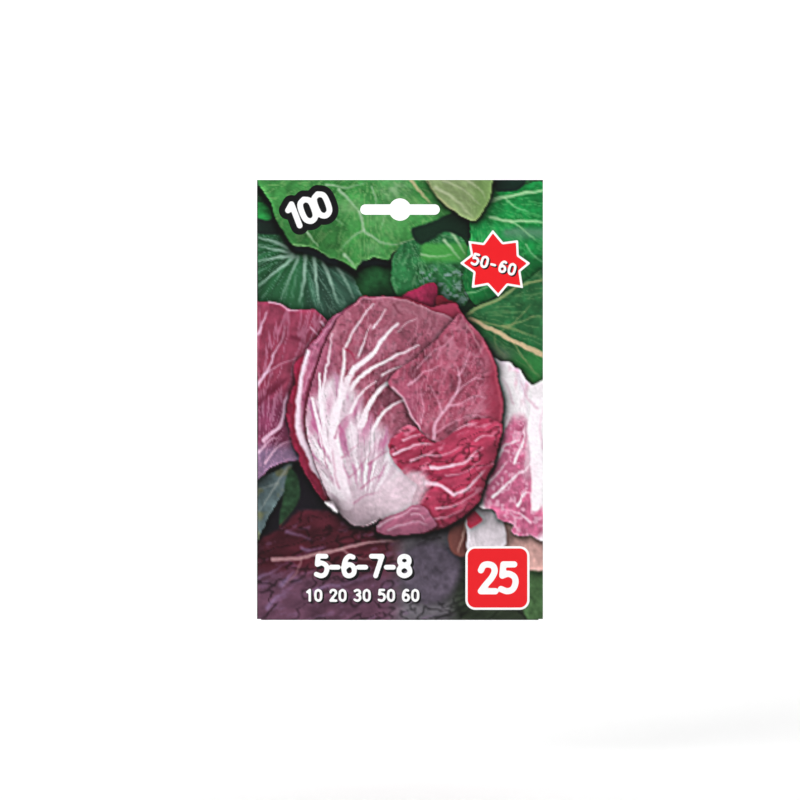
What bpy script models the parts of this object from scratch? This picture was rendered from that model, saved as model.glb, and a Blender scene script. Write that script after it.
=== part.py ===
"""Seed packet for a display hook: a glued paper envelope, its inner sachet and the seeds.

The packet stands upright. Its printed front faces -Y, +X is to the viewer's right and +Z is up.
The origin is the middle of the hanging slot's round hole, halfway between the two header plies.
"""
import math
import random

import bmesh
import bpy
from mathutils import Vector, noise

MM = 0.001

# Outline of the closed packet.
WIDTH = 115.0 * MM
HEIGHT = 177.0 * MM
SLOT_DROP = 11.9 * MM                # top edge down to the middle of the slot
TOP = SLOT_DROP
BOTTOM = TOP - HEIGHT

# Hanging slot: a round-ended bar with a round hole in the middle.
SLOT_WIDTH = 32.0 * MM
SLOT_BAR_HEIGHT = 4.2 * MM
SLOT_HOLE_RADIUS = 4.5 * MM

# Paper and glue.
PAPER = 0.15 * MM
GLUE = 0.10 * MM
PLY_PITCH = 0.35 * MM                # middle of one ply to the middle of the next
HALF_PITCH = PLY_PITCH / 2

# The envelope's folds. The blank runs from the seam flap, round the right edge, across the front,
# round the left edge and across the back, whose free edge lies under the seam flap.
SEAM_FOLD_RADIUS = PLY_PITCH         # wraps the back panel's free edge
SIDE_FOLD_RADIUS = HALF_PITCH
BOTTOM_FOLD_RADIUS = PLY_PITCH
LEFT = -(WIDTH - PAPER) / 2 + SIDE_FOLD_RADIUS
RIGHT = (WIDTH - PAPER) / 2 - SEAM_FOLD_RADIUS
FOOT = BOTTOM + BOTTOM_FOLD_RADIUS + PAPER / 2
SEAM_FLAP_WIDTH = 10.0 * MM
BOTTOM_FLAP_HEIGHT = 14.0 * MM
BACK_EDGE_CLEARANCE = 0.18 * MM
CORNER_RELIEF = 1.4 * MM             # notch beside each end of the bottom flap
MITRE_GAP = 1.0 * MM

# Header: the strip above the pouch, where front and back are glued together.
HEADER_HEIGHT = 26.6 * MM
HEADER_GLUE_MARGIN = 1.2 * MM
POUCH_TOP = TOP - HEADER_HEIGHT

# Swell of the filled pouch at its fullest point.
FRONT_SWELL = 1.6 * MM
BACK_SWELL = 1.0 * MM
SWELL_SKEW = 1.4                     # over 1 moves the fullest point towards the foot

# Inner sachet: two foil-laminate films, heat-sealed to each other round the border.
FILM = 0.06 * MM
FILM_PITCH = 0.10 * MM
SACHET_WIDTH = 80.0 * MM
SACHET_TOP = -45.0 * MM
SACHET_FOOT = -152.0 * MM
SEAL_WIDTH = 7.0 * MM
SACHET_FILL = 0.85                   # share of the pouch's swell that the sachet takes up

# Seeds, settled in the lower half of the sachet.
HEAP_TOP = -84.0 * MM
HEAP_FOOT = -140.0 * MM
HEAP_HALF_WIDTH = 29.0 * MM
HEAP_CLEARANCE = 0.14 * MM
SEED_GRAIN = 2.2 * MM

# Grid of the faceted sheets.
ARC_STEPS = 4
PANEL_COLUMNS = 16
POUCH_ROWS = 18
FILM_COLUMNS = 14
FILM_ROWS = 16
CURVE_STEPS = 12


# ---------------------------------------------------------------- helpers

def clear_scene():
    for obj in list(bpy.data.objects):
        bpy.data.objects.remove(obj, do_unlink=True)


def lerp(low, high, share):
    return low + (high - low) * share


def spaced(low, high, steps):
    return [lerp(low, high, i / steps) for i in range(steps + 1)]


def smooth_step(low, high, value):
    share = min(max((value - low) / (high - low), 0.0), 1.0)
    return share * share * (3.0 - 2.0 * share)


def add_material(obj, name, color, roughness, metallic=0.0):
    material = bpy.data.materials.new(name)
    material.use_nodes = True
    shader = material.node_tree.nodes["Principled BSDF"]
    shader.inputs["Base Color"].default_value = (*color, 1.0)
    shader.inputs["Roughness"].default_value = roughness
    shader.inputs["Metallic"].default_value = metallic
    obj.data.materials.append(material)


def add_object(name, bm):
    mesh = bpy.data.meshes.new(name)
    bm.to_mesh(mesh)
    bm.free()
    obj = bpy.data.objects.new(name, mesh)
    bpy.context.scene.collection.objects.link(obj)
    return obj


def add_grid(bm, columns, rows, point):
    """Quads over columns by rows, where point(column, row) gives each corner."""
    grid = [[bm.verts.new(point(column, row)) for row in rows] for column in columns]
    for i in range(len(columns) - 1):
        for j in range(len(rows) - 1):
            bm.faces.new((grid[i][j], grid[i + 1][j], grid[i + 1][j + 1], grid[i][j + 1]))
    return grid


def close_between(bm, front, back):
    """Join the rims of two grids of the same size, which makes them one closed body."""
    def rim(grid):
        last_column, last_row = len(grid) - 1, len(grid[0]) - 1
        return ([grid[i][0] for i in range(last_column)]
                + [grid[last_column][j] for j in range(last_row)]
                + [grid[i][last_row] for i in range(last_column, 0, -1)]
                + [grid[0][j] for j in range(last_row, 0, -1)])
    outer, inner = rim(front), rim(back)
    for i, corner in enumerate(outer):
        after = (i + 1) % len(outer)
        bm.faces.new((corner, inner[i], inner[after], outer[after]))
    bmesh.ops.recalc_face_normals(bm, faces=bm.faces)


def add_slab(name, columns, rows, front_y, back_y):
    """A closed plate over columns (x) by rows (z), from front_y(x, z) back to back_y(x, z)."""
    bm = bmesh.new()
    front = add_grid(bm, columns, rows, lambda x, z: (x, front_y(x, z), z))
    back = add_grid(bm, columns, rows, lambda x, z: (x, back_y(x, z), z))
    close_between(bm, front, back)
    return add_object(name, bm)


def add_solidify(obj, thickness):
    modifier = obj.modifiers.new("Thickness", "SOLIDIFY")
    modifier.thickness = thickness
    modifier.offset = 0.0
    modifier.use_even_offset = True


# ---------------------------------------------------------------- shape of the pouch

def swell(x, z):
    """How full the pouch is at a point of its face, from 0 along the folds to 1."""
    across = x / (WIDTH / 2)
    if abs(across) >= 1.0 or not FOOT < z < POUCH_TOP:
        return 0.0
    down = ((POUCH_TOP - z) / (POUCH_TOP - FOOT)) ** SWELL_SKEW
    return (1.0 - across * across) ** 2 * math.sin(math.pi * down) ** 2


def front_y(x, z):
    return -HALF_PITCH - FRONT_SWELL * swell(x, z)


def back_y(x, z):
    return HALF_PITCH + BACK_SWELL * swell(x, z)


def flap_y(x, z):
    return back_y(x, z) + PLY_PITCH


# ---------------------------------------------------------------- hanging slot

def slot_outline(margin):
    """Corner points (x, z) of the hanging slot, grown by margin, anticlockwise from the right."""
    half_bar = SLOT_BAR_HEIGHT / 2 + margin
    hole = SLOT_HOLE_RADIUS + margin
    end_centre = SLOT_WIDTH / 2 + margin - half_bar
    meet = math.asin(half_bar / hole)
    arcs = [(end_centre, half_bar, -math.pi / 2, math.pi / 2),
            (0.0, hole, meet, math.pi - meet),
            (-end_centre, half_bar, math.pi / 2, 3 * math.pi / 2),
            (0.0, hole, math.pi + meet, 2 * math.pi - meet)]
    return [(centre + radius * math.cos(angle), radius * math.sin(angle))
            for centre, radius, start, end in arcs
            for angle in spaced(start, end, CURVE_STEPS)]


def cut_slot(obj, margin):
    """Punch the hanging slot through everything that the object has at the header."""
    reach = 2.0 * MM
    bm = bmesh.new()
    face = bm.faces.new([bm.verts.new((x, -reach, z)) for x, z in slot_outline(margin)])
    extruded = bmesh.ops.extrude_face_region(bm, geom=[face])
    moved = [item for item in extruded["geom"] if isinstance(item, bmesh.types.BMVert)]
    bmesh.ops.translate(bm, vec=Vector((0.0, 2 * reach, 0.0)), verts=moved)
    bmesh.ops.recalc_face_normals(bm, faces=bm.faces)
    cutter = add_object(obj.name + "_slot_cutter", bm)
    cutter.hide_render = True
    cutter.display_type = "WIRE"
    modifier = obj.modifiers.new("Hanging slot", "BOOLEAN")
    modifier.operation = "DIFFERENCE"
    modifier.solver = "EXACT"
    modifier.object = cutter


# ---------------------------------------------------------------- paper envelope

def girth_stations():
    """Stops along the blank's girth: each is a function from height z to a point (x, y, z)."""
    def seam_flap(share):
        def place(z):
            top_taper = 3.0 * MM
            low = FOOT + (BOTTOM_FLAP_HEIGHT + MITRE_GAP) * share
            high = TOP - top_taper * share
            new_z = lerp(low, high, (z - FOOT) / (TOP - FOOT))
            x = RIGHT - SEAM_FLAP_WIDTH * share
            return x, flap_y(x, new_z), new_z
        return place

    def fold(centre_x, centre_y, radius, angle):
        return lambda z: (centre_x + radius * math.cos(angle), centre_y + radius * math.sin(angle), z)

    def panel(x, depth):
        return lambda z: (x, depth(x, z), z)

    front_columns = ([RIGHT] + spaced(RIGHT - CORNER_RELIEF, LEFT + CORNER_RELIEF, PANEL_COLUMNS)
                     + [LEFT])
    back_end = RIGHT - BACK_EDGE_CLEARANCE
    stations = [seam_flap(share) for share in (1.0, 0.5)]
    stations += [fold(RIGHT, -HALF_PITCH + SEAM_FOLD_RADIUS, SEAM_FOLD_RADIUS, angle)
                 for angle in spaced(math.pi / 2, -math.pi / 2, ARC_STEPS)]
    stations += [panel(x, front_y) for x in front_columns[1:-1]]
    stations += [fold(LEFT, 0.0, SIDE_FOLD_RADIUS, angle)
                 for angle in spaced(-math.pi / 2, -3 * math.pi / 2, ARC_STEPS)]
    stations += [panel(x, back_y) for x in spaced(LEFT, back_end, PANEL_COLUMNS)[1:]]
    first_front = 2 + ARC_STEPS + 1
    return stations, first_front


def bottom_flap_place(x_fold, share_up):
    """A point of the bottom flap above the fold at x_fold, with its ends cut at a slant."""
    left_slant, right_slant = 3.0 * MM, SEAM_FLAP_WIDTH + CORNER_RELIEF
    across = (x_fold - LEFT) / (RIGHT - LEFT)
    x = x_fold + share_up * lerp(left_slant, -right_slant, across)
    z = FOOT + BOTTOM_FLAP_HEIGHT * share_up
    return x, flap_y(x, z), z


def make_envelope():
    stations, first_front = girth_stations()
    rows = spaced(FOOT, POUCH_TOP, POUCH_ROWS) + [TOP]
    bm = bmesh.new()
    grid = add_grid(bm, stations, rows, lambda station, z: station(z))

    hinge = [grid[first_front + i][0] for i in range(PANEL_COLUMNS + 1)]
    centre_y = -HALF_PITCH + BOTTOM_FOLD_RADIUS
    previous = hinge
    for angle in spaced(math.pi, 2 * math.pi, ARC_STEPS)[1:]:
        current = [bm.verts.new((corner.co.x, centre_y + BOTTOM_FOLD_RADIUS * math.cos(angle),
                                 FOOT + BOTTOM_FOLD_RADIUS * math.sin(angle))) for corner in hinge]
        bridge(bm, previous, current)
        previous = current
    for share in (0.33, 0.67, 1.0):
        current = [bm.verts.new(bottom_flap_place(corner.co.x, share)) for corner in hinge]
        bridge(bm, previous, current)
        previous = current

    bmesh.ops.recalc_face_normals(bm, faces=bm.faces)
    envelope = add_object("paper_envelope", bm)
    add_material(envelope, "printed_paper", (0.36, 0.22, 0.20), 0.45)
    add_solidify(envelope, PAPER)
    cut_slot(envelope, 0.0)


def bridge(bm, lower, upper):
    for i in range(len(lower) - 1):
        bm.faces.new((lower[i], lower[i + 1], upper[i + 1], upper[i]))


# ---------------------------------------------------------------- glue

def make_header_glue():
    columns = (LEFT + HEADER_GLUE_MARGIN, RIGHT - HEADER_GLUE_MARGIN)
    rows = (POUCH_TOP, TOP - HEADER_GLUE_MARGIN)
    glue = add_slab("header_glue", columns, rows, lambda x, z: -GLUE / 2, lambda x, z: GLUE / 2)
    add_material(glue, "glue", (0.82, 0.76, 0.60), 0.35)
    cut_slot(glue, 1.5 * MM)


def make_flap_glue(name, columns, rows):
    """A strip of glue halfway between the back panel and a flap folded over it."""
    def middle(x, z):
        return back_y(x, z) + HALF_PITCH
    glue = add_slab(name, columns, rows,
                    lambda x, z: middle(x, z) - GLUE / 2, lambda x, z: middle(x, z) + GLUE / 2)
    add_material(glue, "glue", (0.82, 0.76, 0.60), 0.35)


def make_seam_glue():
    strip_low = RIGHT - SEAM_FLAP_WIDTH + 1.5 * MM
    strip_high = RIGHT - 1.5 * MM
    foot = FOOT + BOTTOM_FLAP_HEIGHT + 1.0 * MM
    rows = [foot] + [z for z in spaced(FOOT, POUCH_TOP, POUCH_ROWS) if z > foot + 1.0 * MM]
    make_flap_glue("seam_flap_glue", spaced(strip_low, strip_high, 2), rows + [TOP - 4.0 * MM])


def make_bottom_glue():
    columns = spaced(LEFT + 5.0 * MM, RIGHT - SEAM_FLAP_WIDTH - 4.0 * MM, PANEL_COLUMNS)
    rows = spaced(FOOT + 2.0 * MM, FOOT + BOTTOM_FLAP_HEIGHT - 2.0 * MM, 3)
    make_flap_glue("bottom_flap_glue", columns, rows)


# ---------------------------------------------------------------- inner sachet and seeds

def sachet_fullness(x, z):
    """How far each film stands off the sealed border, as a share of the pouch's swell."""
    inward = min(SACHET_WIDTH / 2 - abs(x), SACHET_TOP - z, z - SACHET_FOOT)
    return SACHET_FILL * swell(x, z) * smooth_step(SEAL_WIDTH, SEAL_WIDTH + 14.0 * MM, inward)


def make_film(name, side, full_swell):
    """One film of the sachet; side is -1 for the front film and +1 for the back film."""
    def middle(x, z):
        return side * (FILM_PITCH / 2 + full_swell * sachet_fullness(x, z))
    half = SACHET_WIDTH / 2
    columns = [-half] + spaced(SEAL_WIDTH - half, half - SEAL_WIDTH, FILM_COLUMNS) + [half]
    rows = ([SACHET_FOOT]
            + spaced(SACHET_FOOT + SEAL_WIDTH, SACHET_TOP - SEAL_WIDTH, FILM_ROWS) + [SACHET_TOP])
    film = add_slab(name, columns, rows,
                    lambda x, z: middle(x, z) - FILM / 2, lambda x, z: middle(x, z) + FILM / 2)
    film.data.shade_smooth()
    film.data.set_sharp_from_angle(angle=math.radians(30))
    add_material(film, "foil_laminate", (0.78, 0.79, 0.80), 0.28, 1.0)


def heap_surface(side, full_swell, columns_unit, rows_unit):
    """Points on one side of the heap of seeds, whose outline is an oval pocket of the sachet."""
    wobble = random.Random(7)
    offset = Vector((wobble.random(), side, wobble.random())) * 10.0

    def place(u, v):
        x = HEAP_HALF_WIDTH * u * math.sqrt(1.0 - 0.5 * v * v)
        z = lerp(HEAP_FOOT, HEAP_TOP, 0.5 + 0.5 * v * math.sqrt(1.0 - 0.5 * u * u))
        room = full_swell * sachet_fullness(x, z) + (FILM_PITCH - FILM) / 2 - HEAP_CLEARANCE
        rim = (1.0 - u * u) * (1.0 - v * v)
        bump = 0.5 + 0.5 * noise.noise(Vector((x, 0.0, z)) / SEED_GRAIN + offset)
        depth = max(room, 0.02 * MM) * min(1.0, 3.0 * rim) * lerp(0.78, 1.0, bump)
        return Vector((x, side * depth, z))
    return [[place(u, v) for v in rows_unit] for u in columns_unit]


def make_seeds():
    """The settled seeds, joined into one bumpy heap."""
    columns, rows = spaced(-1.0, 1.0, 24), spaced(-1.0, 1.0, 24)
    front = heap_surface(-1.0, FRONT_SWELL, columns, rows)
    back = heap_surface(1.0, BACK_SWELL, columns, rows)
    bm = bmesh.new()
    last = len(columns) - 1

    def on_rim(i, j):
        return i in (0, last) or j in (0, last)
    front_verts = [[bm.verts.new(point) for point in column] for column in front]
    back_verts = [[front_verts[i][j] if on_rim(i, j) else bm.verts.new(back[i][j])
                   for j in range(last + 1)] for i in range(last + 1)]
    for grid in (front_verts, back_verts):
        for i in range(last):
            for j in range(last):
                bm.faces.new((grid[i][j], grid[i + 1][j], grid[i + 1][j + 1], grid[i][j + 1]))
    bmesh.ops.recalc_face_normals(bm, faces=bm.faces)
    seeds = add_object("seeds", bm)
    seeds.data.shade_smooth()
    add_material(seeds, "seed_husk", (0.45, 0.33, 0.20), 0.7)


def main():
    clear_scene()
    make_envelope()
    make_header_glue()
    make_seam_glue()
    make_bottom_glue()
    make_film("sachet_front_film", -1.0, FRONT_SWELL)
    make_film("sachet_back_film", 1.0, BACK_SWELL)
    make_seeds()


main()
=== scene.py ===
"""Seed packet: a printed paper envelope with a hanging slot, its inner sachet and its seeds.

Lays the finished surfaces round the fixed parts: the folded and printed paper, the glue, the
foil-laminate sachet and the loose seeds. All sizes here are in millimetres until a mesh is made.
"""
import math

import bmesh
import bpy
import numpy as np
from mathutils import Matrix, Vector


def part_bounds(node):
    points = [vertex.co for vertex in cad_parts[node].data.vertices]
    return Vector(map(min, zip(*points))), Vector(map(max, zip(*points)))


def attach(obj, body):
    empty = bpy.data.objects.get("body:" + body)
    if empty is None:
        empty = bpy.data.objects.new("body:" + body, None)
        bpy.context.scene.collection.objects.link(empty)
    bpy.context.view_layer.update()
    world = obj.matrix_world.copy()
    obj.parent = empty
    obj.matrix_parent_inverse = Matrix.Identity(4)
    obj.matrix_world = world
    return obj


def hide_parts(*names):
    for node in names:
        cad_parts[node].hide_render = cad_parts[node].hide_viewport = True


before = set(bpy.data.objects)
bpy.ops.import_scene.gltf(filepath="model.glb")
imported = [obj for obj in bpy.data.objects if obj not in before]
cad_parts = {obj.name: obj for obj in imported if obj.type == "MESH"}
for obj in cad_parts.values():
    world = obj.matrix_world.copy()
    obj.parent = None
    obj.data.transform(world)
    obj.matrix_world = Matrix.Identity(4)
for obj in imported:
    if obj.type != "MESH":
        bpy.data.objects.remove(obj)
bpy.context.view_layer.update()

bl_info = {
    "name": "Seed Packet",
    "version": (1, 0, 0),
    "blender": (4, 5, 0),
    "location": "3D View > Sidebar > Seed Packet",
    "description": "Prints, folds and fills a seed packet round its fixed parts",
    "category": "Object",
}

MM = 0.001
ROOT = "root"


def part_box(node):
    """Lowest and highest corner of a fixed part, in millimetres."""
    low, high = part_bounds(node)
    return np.array(low) / MM, np.array(high) / MM


ENVELOPE_LOW, ENVELOPE_HIGH = part_box("paper_envelope")
WIDTH = ENVELOPE_HIGH[0] - ENVELOPE_LOW[0]
HEIGHT = ENVELOPE_HIGH[2] - ENVELOPE_LOW[2]
MIDDLE = (ENVELOPE_HIGH[0] + ENVELOPE_LOW[0]) / 2
TOP, BOTTOM = ENVELOPE_HIGH[2], ENVELOPE_LOW[2]

# Paper, and the pitch from the middle of one ply to the middle of the next.
PAPER = 0.15
PLY_PITCH = 0.35
HALF_PITCH = PLY_PITCH / 2
HALF_PAPER = PAPER / 2

# Folds: the tangent lines where the flat panels end, and how round each fold is.
LEFT = ENVELOPE_LOW[0] + HALF_PAPER + HALF_PITCH
RIGHT = ENVELOPE_HIGH[0] - HALF_PAPER - PLY_PITCH
FOOT = BOTTOM + HALF_PAPER + PLY_PITCH
SEAM_FLAP = 10.0
BOTTOM_FLAP = 14.0
CORNER_RELIEF = 1.4
SEAM_TOP_TAPER = 3.0
MITRE = BOTTOM_FLAP + 1.0
BACK_EDGE = RIGHT - 0.18

# The pouch swells towards its lower half.
POUCH_TOP = part_box("header_glue")[0][2]
SWELL_SKEW = 1.4
FRONT_SWELL = -ENVELOPE_LOW[1] - HALF_PITCH - HALF_PAPER
BACK_SWELL = 1.0

# Hanging slot: a round-ended bar with a round hole in its middle, which is the origin.
SLOT_HALF_WIDTH = 16.0
SLOT_HALF_BAR = 2.1
SLOT_HOLE = 4.5

# Inner sachet.
SACHET_LOW, SACHET_HIGH = part_box("sachet_front_film")
SEAL = 7.0
SACHET_FILL = 0.85


# ---------------------------------------------------------------- how the picture is painted

def smooth(low, high, value):
    """0 below low, 1 above high, and an even ramp between."""
    share = np.clip((value - low) / (high - low), 0.0, 1.0)
    return share * share * (3.0 - 2.0 * share)


def lattice(column, row, seed):
    """A repeatable random number from 0 to 1 for each corner of a square lattice."""
    mixed = (column * 374761393 + row * 668265263 + seed * 974634777) & 0xFFFFFFFF
    mixed = ((mixed ^ (mixed >> 13)) * 1274126177) & 0xFFFFFFFF
    return ((mixed ^ (mixed >> 16)) & 0xFFFF) / 65535.0


def grain(across, down, seed, octaves=3):
    """Smooth noise from -1 to 1, whose coarsest features are one unit apart."""
    total, weight, share = 0.0, 0.0, 1.0
    for octave in range(octaves):
        column, row = np.floor(across).astype(np.int64), np.floor(down).astype(np.int64)
        x, y = across - column, down - row
        x, y = x * x * (3 - 2 * x), y * y * (3 - 2 * y)
        top = lattice(column, row, seed) * (1 - x) + lattice(column + 1, row, seed) * x
        low = lattice(column, row + 1, seed) * (1 - x) + lattice(column + 1, row + 1, seed) * x
        total = total + share * (2.0 * (top * (1 - y) + low * y) - 1.0)
        weight += share
        share *= 0.55
        seed += 17
        across, down = across * 2.03 + 5.1, down * 2.03 + 1.7
    return total / weight


def spline(points, steps=7, closed=False):
    """A smooth line through given points."""
    p = np.array(points, float)
    if closed:
        p = np.vstack([p[-1], p, p[0], p[1]])
    else:
        p = np.vstack([2 * p[0] - p[1], p, 2 * p[-1] - p[-2]])
    t = np.linspace(0.0, 1.0, steps, endpoint=False)[:, None]
    runs = [0.5 * (2 * b + (c - a) * t + (2 * a - 5 * b + 4 * c - d) * t ** 2
                   + (3 * b - a - 3 * c + d) * t ** 3)
            for a, b, c, d in zip(p[:-3], p[1:-2], p[2:-1], p[3:])]
    return np.vstack(runs if closed else runs + [p[-2:-1]])


class Picture:
    """The printed picture while it is painted, back to front.

    Points are millimetres from the packet's top left corner, across and down. Colours are the
    0 to 255 values of a colour picker. Masks are whole-sheet arrays from 0 to 1.
    """

    def __init__(self, width, height, cell, seed=3):
        self.cell = cell
        self.columns, self.rows = int(round(width / cell)) + 1, int(round(height / cell)) + 1
        across, down = np.linspace(0, width, self.columns), np.linspace(0, height, self.rows)
        self.flat_across, self.flat_down = np.meshgrid(across, down)
        wander = [0.45 * grain(self.flat_across / 4.0, self.flat_down / 4.0, seed + k, 2)
                  + 0.16 * grain(self.flat_across / 1.1, self.flat_down / 1.1, seed + 9 + k, 1)
                  for k in (0, 4)]
        self.across, self.down = self.flat_across + wander[0], self.flat_down + wander[1]
        self.ink = np.zeros((self.rows, self.columns, 3))

    def noise(self, size, seed, octaves=3, stretch=1.0, turn=0.0):
        """Noise whose features are size long, stretched along a direction turned by degrees."""
        c, s = math.cos(math.radians(turn)), math.sin(math.radians(turn))
        along = (self.flat_across * c + self.flat_down * s) / (size * stretch)
        beside = (self.flat_down * c - self.flat_across * s) / size
        return grain(along, beside, seed, octaves)

    def streaks(self, centre, spread, length, seed, octaves=3):
        """Noise drawn out along rays from a centre; spread is the streaks' width in degrees."""
        x, y = self.across - centre[0], self.down - centre[1]
        angle = np.degrees(np.arctan2(y, x)) / spread
        return grain(angle, np.hypot(x, y) / length, seed, octaves)

    def window(self, line, reach):
        low = (line.min(0) - reach) / self.cell
        high = (line.max(0) + reach) / self.cell
        rows = slice(max(int(low[1]), 0), max(min(int(high[1]) + 2, self.rows), 0))
        columns = slice(max(int(low[0]), 0), max(min(int(high[0]) + 2, self.columns), 0))
        return rows, columns

    def distance(self, line, reach):
        """The part of the sheet near a line, with the distance to it and the share along it."""
        area = self.window(line, reach)
        x, y = self.across[area], self.down[area]
        steps = np.diff(line, axis=0)
        lengths = np.hypot(*steps.T)
        starts = np.concatenate([[0.0], np.cumsum(lengths)])
        best, share = np.full(x.shape, 1e9), np.zeros(x.shape)
        for (ax, ay), (dx, dy), length, start in zip(line[:-1], steps, lengths, starts):
            if length == 0:
                continue
            t = np.clip(((x - ax) * dx + (y - ay) * dy) / length ** 2, 0.0, 1.0)
            away = np.hypot(x - ax - t * dx, y - ay - t * dy)
            nearer = away < best
            best[nearer] = away[nearer]
            share[nearer] = ((start + t * length) / starts[-1])[nearer]
        return area, best, share

    def depth(self, outline, reach=6.0):
        """How far inside a closed outline each point is, negative outside, up to reach beyond it."""
        line = spline(outline, closed=True)
        ring = np.vstack([line, line[:1]])
        area, away, _ = self.distance(ring, reach)
        x, y = self.across[area], self.down[area]
        inside = np.zeros(x.shape, bool)
        for (ax, ay), (bx, by) in zip(ring[:-1], ring[1:]):
            if ay != by:
                crosses = (ay > y) != (by > y)
                inside ^= crosses & (x < (bx - ax) * (y - ay) / (by - ay) + ax)
        result = np.full((self.rows, self.columns), -1e3)
        result[area] = np.where(inside, away, -away)
        return result

    def blend(self, mask, color):
        color = np.asarray(color, float)
        self.ink += mask[..., None] * (color - self.ink)

    def darken(self, mask, strength):
        self.ink *= (1.0 - strength * mask)[..., None]

    def leaf(self, outline, color, soft=0.22, shadow=0.45, spread=2.2, offset=(0.5, 0.7)):
        """Lay a leaf on the picture: its shadow on what is behind it, then its flat colour."""
        depth = self.depth(outline)
        if shadow:
            shift = [int(round(part / self.cell)) for part in offset]
            cast = np.roll(depth, (shift[1], shift[0]), axis=(0, 1))
            self.darken(np.exp(np.minimum(cast, 0.0) / spread), shadow)
        mask = smooth(-soft, soft, depth)
        self.blend(mask, color)
        return mask, depth

    def stroke(self, points, widths, color, mask=1.0, strength=1.0, soft=0.35):
        """A vein, edge or crease: a line with a start and an end width, kept inside a mask."""
        line = spline(points)
        widest = max(widths)
        area, away, share = self.distance(line, widest + soft + 0.4)
        half = (widths[0] + (widths[1] - widths[0]) * share) / 2
        ends = smooth(0.0, 0.08, 1.0 - share) * 0.6 + 0.4
        thin = 0.35 + 0.65 * np.clip(half / 0.6, 0.0, 1.0)
        cover = smooth(soft, -soft, away - half) * ends * thin * strength
        inside = mask[area] if isinstance(mask, np.ndarray) else mask
        cover = cover * inside
        self.ink[area] += cover[..., None] * (np.asarray(color, float) - self.ink[area])


def blur(values, cells):
    """Average each value with its neighbours, a few times over, which is close to a round blur."""
    for _ in range(3):
        for axis in (0, 1):
            pad = [(0, 0)] * values.ndim
            pad[axis] = (cells + 1, cells)
            total = np.cumsum(np.pad(values, pad, mode="edge"), axis=axis)
            size = values.shape[axis]
            ahead = np.take(total, np.arange(2 * cells + 1, 2 * cells + 1 + size), axis=axis)
            behind = np.take(total, np.arange(size), axis=axis)
            values = (ahead - behind) / (2 * cells + 1)
    return values


# ---------------------------------------------------------------- the printed picture

WHITE_RIB, LILAC_RIB, PALE_GREEN = (236, 224, 232), (214, 176, 198), (160, 186, 156)
GAP = (22, 30, 33)


def mottle(p, mask, seed, size=2.4, amount=0.10, turn=0.0, stretch=1.0):
    """Cloudy light and dark, with finer crumples in it, so that no leaf is one flat colour."""
    rough = 0.6 * p.noise(size * 3, seed, 2, stretch, turn) + 0.7 * p.noise(size, seed + 3, 3, stretch,
                                                                           turn)
    p.ink *= (1.0 + amount * rough * mask)[..., None]


def network(p, mask, centre, spread, length, seed, color, strength):
    """Fine branching veins: the creases of drawn-out noise running away from where the leaf grows."""
    field = p.streaks(centre, spread, length, seed, 3)
    crease = smooth(0.16, 0.0, np.abs(field)) * strength
    p.blend(crease * mask, color)


def ribs(p, rows, color, mask, strength=0.85, soft=0.4):
    """Listed veins. Each row is (start width, end width, points)."""
    for start, end, points in rows:
        p.stroke(points, (start, end), color, mask, strength, soft)


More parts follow.
